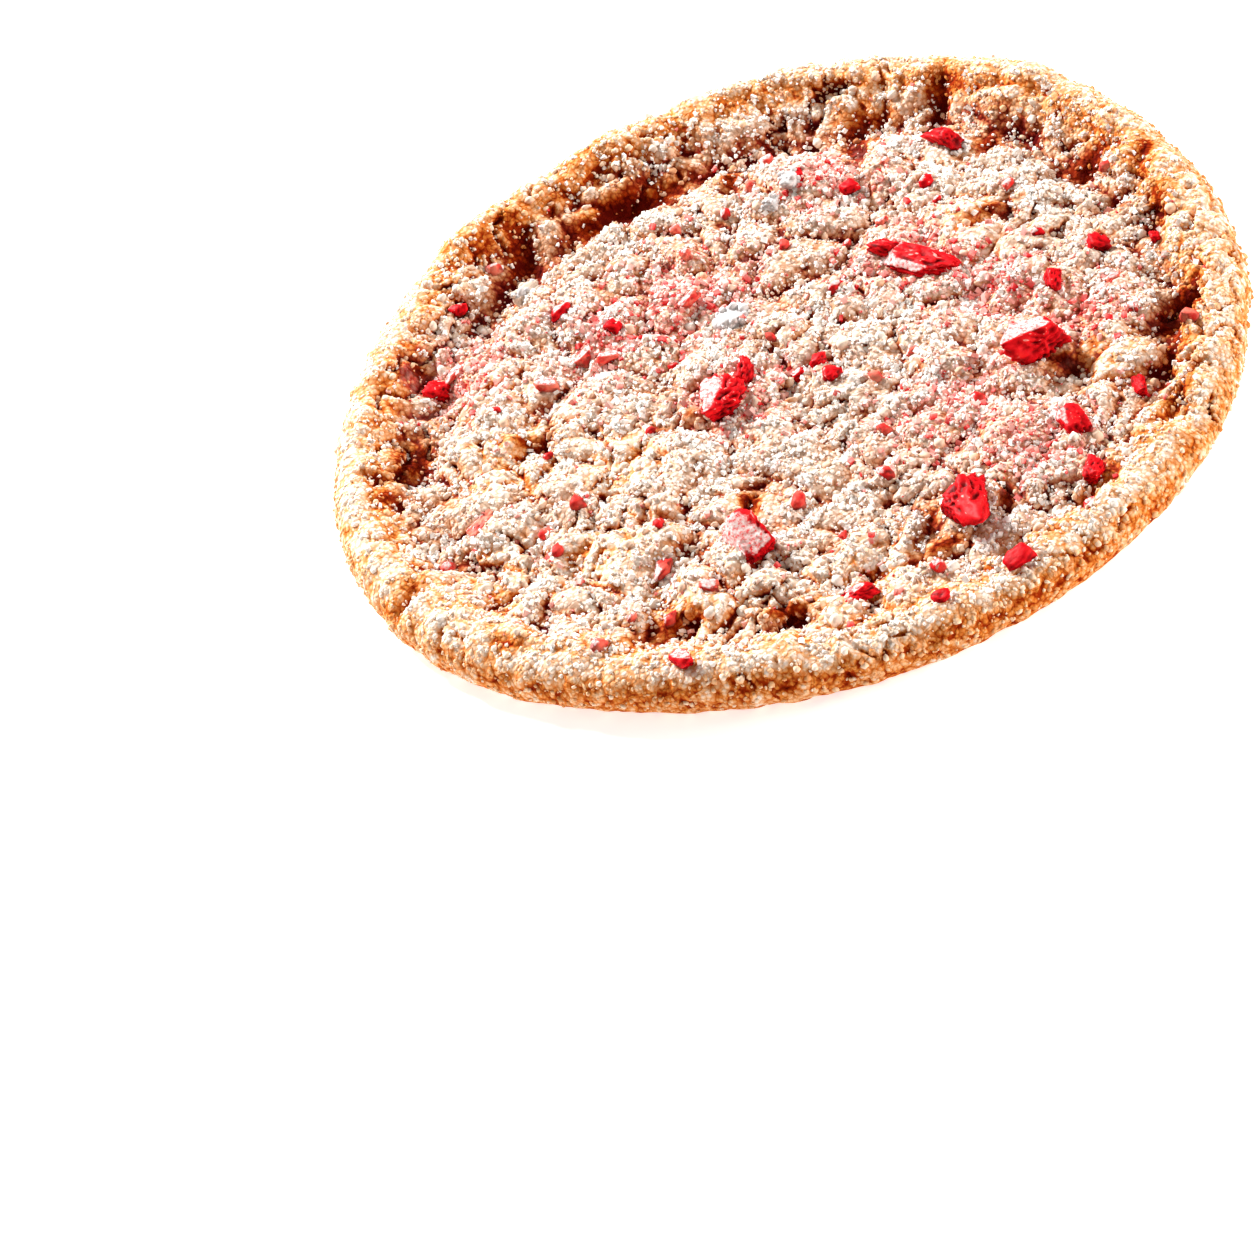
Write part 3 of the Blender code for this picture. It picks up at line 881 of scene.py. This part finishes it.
def strewn(kind, shape, material, rng, ground, density, least_tint=0.0, shrinkage=0.0):
    """One piece of many grains of that kind, with its slot.

    density, least_tint and shrinkage are given at each of the ground's faces, or once for them all.
    Each grain's tint grows darker towards its foot, by up to FOOT_TINT, as painted shade.
    """
    base, base_faces = shape
    count = kind.count
    places, facing, chosen = ground.spots(rng, density, count)
    least_tint = np.broadcast_to(least_tint, ground.area.shape)[chosen]
    shrinkage = np.broadcast_to(shrinkage, ground.area.shape)[chosen]
    sizes = (kind.smallest + kind.spread * rng.random(count) ** kind.bias) * (1.0 - shrinkage)
    tint = kind.tint_spread * rng.random(count) + least_tint
    ragged = 1.0 + rng.uniform(-GRAIN_RAGGEDNESS, GRAIN_RAGGEDNESS, (count, len(base), 1))
    forms = base[None] * ragged * rng.uniform(1.0 - kind.stretch, 1.0 + kind.stretch, (count, 1, 3))
    turned = np.einsum("nij,nvj->nvi", random_turns(rng, count), forms)
    middles = places + facing * (sizes * kind.lift)[:, None]
    points = (turned * sizes[:, None, None] + middles[:, None]).reshape(-1, 3)
    points[:, 2] = np.maximum(points[:, 2], 0.0)
    faces = base_faces[None] + (np.arange(count) * len(base))[:, None, None]
    faces = faces.reshape(-1, base_faces.shape[1])
    foot = np.clip(FOOT_TOP - np.einsum("nvi,ni->nv", turned, facing), 0.0, 1.0)
    values = {"tint": (tint[:, None] + FOOT_TINT * foot).ravel()}
    return new_piece(kind.name, points, faces, material, kind.smooth, values), kind.slot


# ---- berry bits and sugar clumps


def fold_height(direction, own_place):
    fold = 1.0 - 2.0 * abs(noise.noise(direction + own_place))
    return fold + FINE_FOLD * noise.noise(direction * FINE_FOLD_SCALE + own_place)


def chunk(rng, subdivisions, sizes, heading, pale):
    """A broken bit: a skewed block with its corners broken off, and wrinkled.

    Also gives how pale each point is, and how high it lies in the folds. Pale sides face the same way on
    every bit, whatever its heading.
    """
    directions, faces = ico_arrays(subdivisions)
    block = np.concatenate([np.eye(3), -np.eye(3)]) + rng.normal(0.0, BLOCK_SKEW, (6, 3))
    sides = np.concatenate([block, rng.normal(size=(CUTS, 3))])
    sides /= np.linalg.norm(sides, axis=1, keepdims=True)
    offsets = np.concatenate([rng.uniform(*BLOCK_OFFSETS, len(block)), rng.uniform(*CUT_OFFSETS, CUTS)])
    meets = np.clip(directions @ sides.T / offsets, 0.0, None) ** CRISPNESS
    radius = meets.sum(1) ** (-1.0 / CRISPNESS)
    toward = Vector(PALE_TOWARD).normalized()
    toward.rotate(Euler((0.0, 0.0, -math.radians(heading))))
    pale_side = sides @ np.array(toward) > 1.0 - PALE_SPREAD * pale
    paleness = meets[:, pale_side].sum(1) / meets.sum(1)
    own_place = Vector(rng.uniform(0.0, NOISE_SPAN, 3))
    folds = np.array([fold_height(Vector(direction), own_place) for direction in directions * FOLD_SCALES])
    radius = radius * (1.0 + WRINKLE * (folds - MEAN_FOLD) * (1.0 - PALE_CALM * paleness))
    points = directions * radius[:, None]
    points *= np.array(sizes) / np.ptp(points, axis=0)
    return points, faces, paleness, folds


def seated(points, x, y, height, tilts, heading):
    """The bit's points where it lies in the crumb."""
    turn = Euler((*tilts, math.radians(heading))).to_matrix()
    lift = top_height(x, y) + height * (0.5 - SUNK_SHARE)
    placed = points @ np.array(turn).T + (x, y, lift)
    placed[:, 2] = np.minimum(placed[:, 2], TALLEST)
    return placed


def joined(name, parts, material):
    """One piece from several (points, faces, values)."""
    points, faces, start = [], [], 0
    values = {key: [] for key in parts[0][2]}
    for part_points, part_faces, part_values in parts:
        points.append(part_points)
        faces.append(part_faces + start)
        start += len(part_points)
        for key, numbers in part_values.items():
            values[key].append(numbers)
    values = {key: np.concatenate(numbers) for key, numbers in values.items()}
    return new_piece(name, np.concatenate(points), np.concatenate(faces), material, True, values)


def strewn_scraps(taken):
    """Seeded places and sizes of the small scraps, clear of the listed toppings and of each other."""
    rule = random.Random(SCRAP_SEED)
    places = list(taken)
    scraps = []
    while len(scraps) < SCRAP_COUNT:
        angle = rule.uniform(0.0, 2.0 * math.pi)
        radius = SCRAP_REACH * math.sqrt(rule.random())
        x, y = radius * math.cos(angle), radius * math.sin(angle)
        size = rule.uniform(*SCRAP_SIZES)
        if all(math.dist((x, y), other[:2]) > SCRAP_GAP + other[2] for other in places):
            places.append((x, y, 0.0))
            scraps.append((x, y, *(size * share for share in SCRAP_FORM), math.degrees(angle)))
    return scraps


def berry_values(points, paleness, folds, fade):
    """What the berry's material reads: painted shade makes it darker in its folds and towards its foot."""
    foot = (points[:, 2].max() - points[:, 2]) / np.ptp(points[:, 2])
    return {"pale": paleness, "fold": folds - FOOT_DARKNESS * foot**2, "fade": np.full(len(points), fade)}


def berry_bit(rng, subdivisions, form, pale, fade):
    """One bit where it lies in the crumb. form is (x, y, length, width, height, heading)."""
    x, y, length, width, height, heading = form
    points, faces, paleness, folds = chunk(rng, subdivisions, (length, width, height), heading, pale)
    tilts = rng.uniform(-TOPPING_TILT, TOPPING_TILT, 2)
    points = seated(points, x, y, height, tilts, heading)
    return points, faces, berry_values(points, paleness, folds, fade)


def berry_bits(material):
    """The listed bits and the strewn scraps, as one piece."""
    taken = [(spot[0], spot[1], spot[2] / 2) for spot in BERRIES + SUGAR_CLUMPS]
    parts = []
    for number, (*form, pale, fade) in enumerate(BERRIES):
        rng = np.random.default_rng(BERRY_SEED + number)
        subdivisions = next(steps for least_length, steps in FINENESS if form[2] > least_length)
        parts.append(berry_bit(rng, subdivisions, form, pale, fade))
    for number, form in enumerate(strewn_scraps(taken)):
        rng = np.random.default_rng(SCRAP_FORM_SEED + number)
        pale = rng.uniform(0.0, SCRAP_PALENESS)
        fade = rng.uniform(0.0, SCRAP_FADE) ** 2
        parts.append(berry_bit(rng, SCRAP_FINENESS, form, pale, fade))
    return joined("berry_bits", parts, material)


def sugar_clumps(material):
    """Each clump is a core with rounded lobes crowded over it."""
    lobe, lobe_faces = ico_arrays(LOBE_FINENESS)
    # Each lobe is painted darker underneath, as painted shade, up to LOBE_SHADE.
    underneath = np.clip(0.5 - 0.5 * lobe[:, 2], 0.0, LOBE_SHADE)
    parts = []
    for number, (x, y, length, width, height, heading, crumbly) in enumerate(SUGAR_CLUMPS):
        rng = np.random.default_rng(CLUMP_SEED + number)
        core, core_faces, *_ = chunk(rng, CLUMP_FINENESS, (length, width, height), heading, 0.0)
        core = core * CLUMP_CORE
        seat = (x, y, height, CLUMP_TILTS, heading)
        parts.append((seated(core, *seat), core_faces, {"tint": np.full(len(core), crumbly)}))
        for _ in range(LOBES):
            centre = core[rng.integers(len(core))]
            size = length * rng.uniform(*LOBE_SIZES)
            stretch = rng.uniform(*LOBE_STRETCH, 3)
            ragged = rng.uniform(*LOBE_RAGGEDNESS, (len(lobe), 1))
            points = centre + size * lobe * stretch * ragged
            tint = underneath + crumbly * rng.uniform(0.0, 1.0)
            parts.append((seated(points, *seat), lobe_faces, {"tint": tint}))
    return joined("sugar_clumps", parts, material)


# ---- materials


class Nodes:
    """Short calls for building a material's nodes."""

    def __init__(self, name):
        self.material = bpy.data.materials.new(name)
        self.material.use_nodes = True
        self.tree = self.material.node_tree
        self.surface = self.tree.nodes["Principled BSDF"]
        self.place = self.tree.nodes.new("ShaderNodeTexCoord").outputs["Object"]

    def link(self, source, target):
        self.tree.links.new(source, target)

    def value(self, name):
        node = self.tree.nodes.new("ShaderNodeAttribute")
        node.attribute_name = name
        return node.outputs["Fac"]

    def feed(self, socket, item):
        """Sets a socket to a number or a colour, or links another node's output to it."""
        if isinstance(item, tuple):
            socket.default_value = (*item, 1.0)
        elif isinstance(item, float):
            socket.default_value = item
        else:
            self.link(item, socket)

    def texture(self, kind, size, place):
        """A texture node whose features measure about that many millimetres."""
        node = self.tree.nodes.new(kind)
        node.inputs["Scale"].default_value = 1.0 / (size * MM)
        self.link(place, node.inputs["Vector"])
        return node

    def noise(self, size, detail=3.0, roughness=0.55):
        node = self.texture("ShaderNodeTexNoise", size, self.place)
        node.inputs["Detail"].default_value = detail
        node.inputs["Roughness"].default_value = roughness
        return node.outputs["Fac"]

    def granules(self, size):
        """Packed granules about that many millimetres wide: each one's dome and its own random number."""
        node = self.texture("ShaderNodeTexVoronoi", size, self.place)
        parts = self.tree.nodes.new("ShaderNodeSeparateColor")
        self.link(node.outputs["Color"], parts.inputs["Color"])
        return self.spread(node.outputs["Distance"], 0.15, 0.75, 1.0, 0.0), parts.outputs["Red"]

    def total(self, *weighted):
        """Sum of (weight, value) pairs and plain numbers."""
        result = 0.0
        for item in weighted:
            if isinstance(item, tuple):
                item = self.maths("MULTIPLY", item[1], item[0])
            result = item if result == 0.0 else self.maths("ADD", result, item)
        return result

    def cracks(self, size, width):
        """A wandering net of cracks with meshes that many millimetres wide: 0.25 on them, 0 between them."""
        swirl = self.texture("ShaderNodeTexNoise", size / CRACK_SWIRLS, self.place)
        wander = self.tree.nodes.new("ShaderNodeVectorMath")
        wander.operation = "MULTIPLY_ADD"
        self.link(swirl.outputs["Color"], wander.inputs[0])
        wander.inputs[1].default_value = (CRACK_WANDER * size * MM,) * 3
        self.link(self.place, wander.inputs[2])
        node = self.texture("ShaderNodeTexVoronoi", size, wander.outputs["Vector"])
        node.feature = "DISTANCE_TO_EDGE"
        return self.spread(node.outputs["Distance"], 0.0, width, 0.25, 0.0)

    def ramp(self, source, stops):
        """A colour ramp over (position, colour)."""
        node = self.tree.nodes.new("ShaderNodeValToRGB")
        elements = node.color_ramp.elements
        while len(elements) < len(stops):
            elements.new(0.5)
        for element, (position, colour) in zip(elements, stops):
            element.position = position
            element.color = (*colour, 1.0)
        self.link(source, node.inputs["Fac"])
        return node.outputs["Color"]

    def maths(self, operation, first, second, clamp=False):
        node = self.tree.nodes.new("ShaderNodeMath")
        node.operation = operation
        node.use_clamp = clamp
        self.feed(node.inputs[0], first)
        self.feed(node.inputs[1], second)
        return node.outputs["Value"]

    def spread(self, source, low, high, to_low=0.0, to_high=1.0):
        """Runs from to_low to to_high while the source runs from low to high."""
        node = self.tree.nodes.new("ShaderNodeMapRange")
        node.interpolation_type = "SMOOTHSTEP"
        for name, number in (("From Min", low), ("From Max", high), ("To Min", to_low), ("To Max", to_high)):
            node.inputs[name].default_value = number
        self.link(source, node.inputs["Value"])
        return node.outputs["Result"]

    def mix(self, share, first, second, blend="MIX"):
        node = self.tree.nodes.new("ShaderNodeMix")
        node.data_type = "RGBA"
        node.blend_type = blend
        colours = [socket for socket in node.inputs if socket.type == "RGBA"]
        for socket, item in zip([node.inputs["Factor"], *colours], (share, first, second)):
            self.feed(socket, item)
        return next(socket for socket in node.outputs if socket.type == "RGBA")

    def bump(self, height, distance, strength):
        """Fine relief that many millimetres deep."""
        node = self.tree.nodes.new("ShaderNodeBump")
        node.inputs["Distance"].default_value = distance * MM
        node.inputs["Strength"].default_value = strength
        self.link(height, node.inputs["Height"])
        self.link(node.outputs["Normal"], self.surface.inputs["Normal"])

    def finish(self, colour, roughness, specular):
        self.link(colour, self.surface.inputs["Base Color"])
        self.feed(self.surface.inputs["Roughness"], roughness)
        self.surface.inputs["Specular IOR Level"].default_value = specular
        return self.material


def crumb_material():
    """Baked crumb: pale inside the rim, golden on it, and painted dark red-brown in the crevices as shade.

    Its fine granules and cracks make the darkness of its points uneven. A total adds up (weight, value).
    """
    n = Nodes("baked_crumb")
    mottle = n.noise(0.9)
    dome, chance = n.granules(0.34)
    coarse_dome, coarse_chance = n.granules(0.95)
    cracks = n.cracks(0.85, 0.10)
    # Painted shade: each granule's dome is painted lighter in its middle and darker at its edges.
    darkness = n.total(
        (1.0, n.value("darkness")),
        (0.26, mottle),
        (0.14, chance),
        (-0.08, dome),
        (0.20, coarse_chance),
        (-0.12, coarse_dome),
        (0.30, cracks),
        -0.17,
    )
    rim_share = n.spread(n.total((1.0, n.value("rim")), (0.35, n.noise(2.6))), 0.35, 0.85)
    colour = n.mix(rim_share, n.ramp(darkness, INSIDE_COLOURS), n.ramp(darkness, RIM_COLOURS))
    dusted = n.maths("MULTIPLY", n.value("pink"), n.spread(n.noise(1.3), 0.42, 0.62), clamp=True)
    pink = n.mix(n.spread(n.noise(0.5, 2.0), 0.40, 0.62), PALE_PINK, DEEP_PINK)
    colour = n.mix(n.maths("MULTIPLY", dusted, 0.85), colour, pink)
    sugared = n.spread(n.total((1.0, chance), (0.5, n.noise(1.6))), 0.75, 0.95)
    powder = n.maths("MULTIPLY", n.value("powder"), n.maths("MULTIPLY", sugared, dome), clamp=True)
    colour = n.mix(n.maths("MULTIPLY", powder, 0.65), colour, POWDER_COLOUR)
    # Painted shade: the gaps between granules are multiplied darker.
    gap_shade = n.mix(rim_share, INSIDE_GAP_SHADE, RIM_GAP_SHADE)
    colour = n.mix(n.spread(dome, 0.0, 0.6, 0.75, 0.0), colour, gap_shade, "MULTIPLY")
    n.bump(n.total((1.0, dome), (0.6, coarse_dome), (-2.0, cracks), (0.5, n.noise(0.15))), 0.05, 1.0)
    return n.finish(colour, n.spread(mottle, 0.3, 0.7, 0.75, 0.95), specular=0.03)


def grain_material(name, stops, roughness, specular):
    """Grains whose tint runs along a ramp, a little uneven in each."""
    n = Nodes(name)
    unevenness = n.maths("MULTIPLY", n.maths("SUBTRACT", n.noise(0.15), 0.5), 0.2)
    tint = n.maths("ADD", n.value("tint"), unevenness)
    n.bump(n.noise(0.08, 2.0), 0.02, 0.6)
    return n.finish(n.ramp(tint, stops), roughness, specular)


def berry_material():
    """Freeze-dried berry: wrinkled and deep red, with dusty pink-white faces where it broke."""
    n = Nodes("dried_berry")
    # The fold value carries painted shade in the folds and towards the foot.
    red = n.ramp(n.total((0.8, n.value("fold")), (0.25, n.noise(0.9)), 0.05), BERRY_COLOURS)
    faded = n.maths("MULTIPLY", n.value("fade"), n.spread(n.noise(0.7, 3.0), 0.35, 0.60, 0.2, 1.0))
    red = n.mix(faded, red, FADED_BERRY)
    speckle = n.noise(0.28, 4.0, 0.7)
    dusty = n.ramp(speckle, DUSTY_COLOURS)
    edge = n.total((1.0, n.value("pale")), (0.7, speckle), (0.5, n.noise(1.1)), -0.6)
    colour = n.mix(n.spread(edge, 0.40, 0.80), red, dusty)
    n.bump(n.noise(0.4, 3.0, 0.5), 0.08, 0.8)
    return n.finish(colour, n.spread(edge, 0.3, 0.7, 0.5, 0.85), specular=0.06)


# ---- the whole cookie


def near_patches(places, patches):
    """How near each place is to the listed patches, from 0 to 1."""
    nearest = np.zeros(len(places))
    for x, y, reach in patches:
        square = (places[:, 0] - x) ** 2 + (places[:, 1] - y) ** 2
        nearest = np.maximum(nearest, np.exp(-square / reach**2))
    return nearest


def swings(driver, angles):
    """What swings round the cookie, at each of the angles."""
    return np.array([swing(driver, angle) for angle in angles])


def rising(values, reach):
    """0 up to the first value in reach, and 1 from the second on."""
    low, high = reach
    return np.clip((values - low) / (high - low), 0.0, 1.0)


def moved(values, target, share):
    """The values, moved by that share of the way to the target."""
    return values + share * (target - values)


def painted_pit_shade(crumb):
    """How much painted pit shade lies on each point, and how far it is in the darker painted core of a shaded
    place.
    """
    x = crumb.points[:, 0]
    shift = np.stack([PIT_SHADE_SHIFT[0] * x / RADIUS, np.full(len(x), PIT_SHADE_SHIFT[1])], 1)
    walls = crumb.places - shift
    steepness = swings(PIT_SHADE_STEEPNESS, crumb.angles)
    pits = np.array([pit_depth(*place, fall) for place, fall in zip(walls, steepness)])
    cores = np.array([pit_depth(*place, CORE_STEEPNESS) for place in walls])
    pit_shade = crumb.upper * np.clip(PIT_SHADE * pits, 0.0, PIT_SHADE_MOST)
    return pit_shade, crumb.upper * np.clip(CORE_DEPTH * cores - CORE_START, 0.0, 1.0)


def top_darkness(crumb):
    """How dark the top is before its pits are shaded, with painted shade in its hollows, creases and trough
    and on its slopes.
    """
    trough = crumb.upper * np.array([trough_depth(*place) for place in crumb.places])
    seams = np.array([1.0 - lumps(*place) / LUMP_RISE for place in crumb.places])
    past_rim = np.maximum(crumb.inset - RIM_ROUND, 0.0)
    seams = (seams - SEAM_LEVEL) * np.exp(-((past_rim / RIM_WIDTH) ** 2))
    broad = np.maximum(BROAD_PAINTED_SHADE * crumb.deep, BROAD_BRIGHTEST)
    darkness = PLAIN_DARKNESS + HOLLOW_PAINTED_SHADE * crumb.hollow + broad + SLOPE_PAINTED_SHADE * crumb.slope
    darkness = darkness + SEAM_PAINTED_SHADE * seams + TROUGH_PAINTED_SHADE * trough
    inward = np.clip((crumb.inset - RIM_ROUND) / CREST_HALF_WIDTH, -1.0, 1.0)
    crest = swings(CREST_DARKNESS, crumb.angles) + CREST_FALL * inward
    darkness = moved(darkness, crest, CREST_EVENNESS * (1.0 - rising(crumb.inset, CREST_REACH)))
    return darkness + DUSKY_DARKNESS * near_patches(crumb.points, DUSKY_PATCHES)


def make_body(material):
    """The crumb as one piece, and the ground for its grains."""
    crumb = crumb_surface()
    low = crumb.points[:, 2] < EDGE_HEIGHT
    below = (crumb.normals[:, 2] < 0.0) & low
    side = 1.0 - rising(crumb.inset, SIDE_REACH)
    side[below | ((crumb.inset < RIM_ROUND) & low)] = 1.0
    under = below * rising(crumb.inset, BASE_REACH)
    # Painted shade: the side is darker towards the front and in its hollows.
    side_darkness = moved(swings(SIDE_DARKNESS, crumb.angles), BASE_DARKNESS, under)
    side_darkness = side_darkness + SIDE_HOLLOW_PAINTED_SHADE * crumb.hollow
    pit_shade, cores = painted_pit_shade(crumb)
    darkness = moved(top_darkness(crumb), side_darkness, side)
    # The pits and the walls behind them get painted shade, and their cores are painted darkest.
    darkness = np.clip(moved(darkness, PIT_SHADE_DARKNESS, pit_shade), 0.0, 1.0)
    darkness = moved(darkness, 1.0, cores)
    pit_shade = np.maximum(pit_shade, CORE_PIT_SHADE * cores)
    rim = np.maximum(1.0 - rising(crumb.inset, RIM_COLOUR_REACH), np.maximum(pit_shade, below))
    rim = np.maximum(rim, BARE_COLOUR * near_patches(crumb.points, BARE_PATCHES))
    powder = np.clip(crumb.normals[:, 2], 0.0, 1.0)
    powder = powder * np.clip(POWDER_START - POWDER_FALL * darkness, 0.0, 1.0) * (1.0 - rim) ** POWDER_INWARD
    pink = crumb.upper * near_patches(crumb.points, PINK_PATCHES)
    values = {"darkness": darkness, "rim": rim, "pink": pink, "powder": powder}
    body = new_piece("cookie_crumb", crumb.points, crumb.faces, material, True, values)
    return body, Ground(crumb, pit_shade)


def sugar_density(ground, fringe, heaps, clusters, drifts):
    """How thickly sugar lies: mostly on level crumb inside the fringe, and off bare and dusky patches."""
    sugary_side = 0.5 + 0.5 * np.cos(ground.angle - math.radians(SUGARY_SIDE))
    reach = PLAIN_EDGE + SUGARY_EDGE * sugary_side * (1.0 - fringe) + fringe
    level = np.clip(LEVELNESS * ground.up - LEVELNESS_START, 0.0, 1.0)
    trough = np.array([trough_depth(*place) for place in ground.middle[:, :2]]) / sum(TROUGH_DEPTH[:2])
    density = level * reach * (1.0 - TROUGH_SHELTER * trough)
    density = density * (1.0 - BARE_SHELTER * ground.near(BARE_PATCHES))
    density = density * (1.0 - DUSKY_SHELTER * ground.near(DUSKY_PATCHES))
    gathered = SUGAR_FILM
    patterns = ((heaps, SUGAR_HEAPS), (clusters, SUGAR_CLUSTERS), (drifts, SUGAR_DRIFTS))
    for pattern, (amount, sharpness) in patterns:
        gathered = gathered + amount * pattern**sharpness
    return density * gathered


def make_grains(ground):
    """Sugar, crumbs and berry dust, each kind as one piece with its slot."""
    rng = np.random.default_rng(GRAIN_SEED)
    fringe = np.clip((ground.inset - swings(BARE_EDGE, ground.angle)) / FRINGE_WIDTH, 0.0, 1.0)
    heaps, clusters, drifts = (ground.patches(*pattern) for pattern in (HEAPS, CLUSTERS, DRIFTS))
    kept_in = ground.top * np.clip(CLEAR_EDGE_FADE * (ground.inset - CLEAR_EDGE), 0.0, 1.0)
    sheltered = kept_in * (1.0 - ground.pit_shade) ** PIT_SHADE_SHELTER
    gathered = 1.0 + GATHERING * np.clip(ground.deep / GATHERING_DEPTH, 0.0, 1.0)
    sugar = sheltered * sugar_density(ground, fringe, heaps, clusters, drifts)

    on_rim = (1.0 - rising(ground.inset, RIM_CRUMB_REACH)) * (ground.up > RIM_CRUMB_LEAST_UP)
    on_rim = on_rim * (ground.middle[:, 2] > RIM_CRUMB_LEAST_HEIGHT)
    rim_crumbs = on_rim * (1.0 - PIT_SHADE_THINNING * ground.pit_shade) * (CLUSTER_FILM + clusters)
    pebbles = kept_in * rising(ground.inset, PEBBLE_REACH) * gathered
    pebbles = pebbles * (CRUMB_FILM + PEBBLE_CLUSTERS * clusters**2)
    crumbs = sheltered * fringe * gathered * (CRUMB_FILM + heaps**2 + CRUMB_CLUSTERS * clusters)
    berry_dust = sheltered * fringe * (BERRY_FILM + ground.near(PINK_PATCHES) ** PINK_SHARPNESS)
    berry_dust = berry_dust * (CLUSTER_FILM + clusters)

    rim_tint = SIDE_TINT * np.clip(SIDE_TINT_REACH - ground.inset, 0.0, 1.0)
    toward_darker_side = np.cos(ground.angle - math.radians(DARKER_TINT_SIDE))
    rim_tint = rim_tint + DARKER_SIDE_TINT * np.clip(toward_darker_side, 0.0, 1.0)
    # Grains in the pits' painted shade are tinted darker too, as painted shade.
    rim_tint = rim_tint + PIT_SHADE_RIM_TINT * ground.pit_shade
    rim_tint = rim_tint + INNER_TINT * np.clip((ground.inset - RIM_ROUND) / CREST_HALF_WIDTH, -1.0, 1.0)
    pebble_tint = PIT_SHADE_PEBBLE_TINT * ground.pit_shade
    crumb_tint = DRIFT_TINT * drifts + FRINGE_TINT * (1.0 - fringe)
    shrinkage = PEBBLE_SHRINKAGE * ground.pit_shade

    small_ball, box = ico_arrays(1), box_arrays()
    white = grain_material("sugar_grain", SUGAR_COLOURS, roughness=0.5, specular=0.15)
    cream = grain_material("crumb_grain", CRUMB_COLOURS, roughness=0.8, specular=0.05)
    rosy = grain_material("berry_grain", DUST_COLOURS, roughness=0.6, specular=0.2)
    crumbly = grain_material("crumb_pebble", PEBBLE_COLOURS, roughness=0.8, specular=0.05)
    toasted = grain_material("rim_crumb", RIM_CRUMB_COLOURS, roughness=0.8, specular=0.05)
    return [
        strewn(RIM_CRUMBS, small_ball, toasted, rng, ground, rim_crumbs, rim_tint),
        strewn(CRUMB_PEBBLES, ico_arrays(2), crumbly, rng, ground, pebbles, pebble_tint, shrinkage),
        strewn(CRUMB_GRAINS, small_ball, cream, rng, ground, crumbs, crumb_tint),
        strewn(SUGAR_GRAINS, box, white, rng, ground, sugar),
        strewn(SUGAR_DUST, octahedron_arrays(), white, rng, ground, sugar),
        strewn(BERRY_DUST, box, rosy, rng, ground, berry_dust),
    ]


def make_cookie():
    """Every visible piece, on the cookie's body and in place of its node."""
    body, ground = make_body(crumb_material())
    berry = berry_material()
    sugar = grain_material("sugar_lump", CLUMP_COLOURS, roughness=0.6, specular=0.2)
    toppings = [(berry_bits(berry), "berry"), (sugar_clumps(sugar), "sugar")]
    for piece, slot in [(body, "crumb"), *toppings, *make_grains(ground)]:
        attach(piece, "root")
        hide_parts("cookie")


# ---- floor, lights and camera


def make_floor():
    """A pale floor, far wider than the view, that glows a little."""
    bpy.ops.mesh.primitive_plane_add(size=FLOOR_SIZE)
    floor = bpy.context.object
    floor.name = "floor"
    n = Nodes("pale_floor")
    tone = n.ramp(n.noise(60.0), ((0.3, (0.90, 0.90, 0.90)), (0.7, (0.93, 0.93, 0.93))))
    n.surface.inputs["Emission Color"].default_value = (1.0, 1.0, 1.0, 1.0)
    n.surface.inputs["Emission Strength"].default_value = FLOOR_GLOW
    floor.data.materials.append(n.finish(tone, roughness=0.9, specular=0.1))


def add_area_light(name, toward, distance, size, power, colour):
    """A square light that many metres away in that direction, aimed at the cookie."""
    light = bpy.data.lights.new(name, "AREA")
    light.size = size
    light.energy = power
    light.color = colour
    lamp = bpy.data.objects.new(name, light)
    direction = Vector(toward).normalized()
    lamp.location = direction * distance
    lamp.rotation_euler = (-direction).to_track_quat("-Z", "Y").to_euler()
    bpy.context.scene.collection.objects.link(lamp)


def make_lights():
    """A hard light from behind on the left, a soft warm one from the right, and a warm room."""
    white, warm = (1.0, 1.0, 1.0), (1.0, 0.95, 0.90)
    add_area_light("key", (-0.50, 0.85, 0.70), distance=0.6, size=0.10, power=10.0, colour=white)
    add_area_light("fill", (1.0, -0.20, 0.22), distance=0.7, size=0.26, power=5.5, colour=warm)
    world = bpy.data.worlds.new("studio")
    world.use_nodes = True
    background = world.node_tree.nodes["Background"]
    background.inputs["Color"].default_value = (1.0, 0.90, 0.82, 1.0)
    background.inputs["Strength"].default_value = ROOM_LIGHT
    bpy.context.scene.world = world
    bpy.context.scene.view_settings.view_transform = "Standard"


def make_camera():
    """The photograph's view, rolled and off centre, with no shift."""
    elevation, roll = math.radians(CAMERA_ELEVATION), math.radians(CAMERA_ROLL)
    forward = Vector((0.0, math.cos(elevation), -math.sin(elevation)))
    level_right = Vector((1.0, 0.0, 0.0))
    level_up = level_right.cross(forward)
    right = level_right * math.cos(roll) - level_up * math.sin(roll)
    up = level_right * math.sin(roll) + level_up * math.cos(roll)
    half = FRAME_PIXELS / 2
    right_of_centre, below_centre = TARGET_PIXEL[0] - half, TARGET_PIXEL[1] - half
    seen = Vector((right_of_centre / FOCAL_PIXELS, -below_centre / FOCAL_PIXELS, -1.0))
    aim = seen.normalized().rotation_difference(Vector((0.0, 0.0, -1.0))).to_matrix()
    turn = Matrix((right, up, -forward)).transposed() @ aim
    camera = bpy.data.cameras.new("camera")
    camera.sensor_width = SENSOR_WIDTH
    camera.lens = FOCAL_PIXELS / FRAME_PIXELS * SENSOR_WIDTH
    camera.clip_start = NEAREST_SEEN
    holder = bpy.data.objects.new("camera", camera)
    place = (Vector(CAMERA_TARGET) - forward * CAMERA_DISTANCE) * MM
    holder.matrix_world = Matrix.Translation(place) @ turn.to_4x4()
    bpy.context.scene.collection.objects.link(holder)
    bpy.context.scene.camera = holder


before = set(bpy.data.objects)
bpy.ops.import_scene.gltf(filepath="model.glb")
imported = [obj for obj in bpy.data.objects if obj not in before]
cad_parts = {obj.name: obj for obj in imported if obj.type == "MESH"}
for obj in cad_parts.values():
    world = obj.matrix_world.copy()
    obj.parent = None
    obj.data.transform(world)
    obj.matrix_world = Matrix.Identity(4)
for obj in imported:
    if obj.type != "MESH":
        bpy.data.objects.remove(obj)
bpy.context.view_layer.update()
make_camera()
make_lights()
make_floor()
make_cookie()
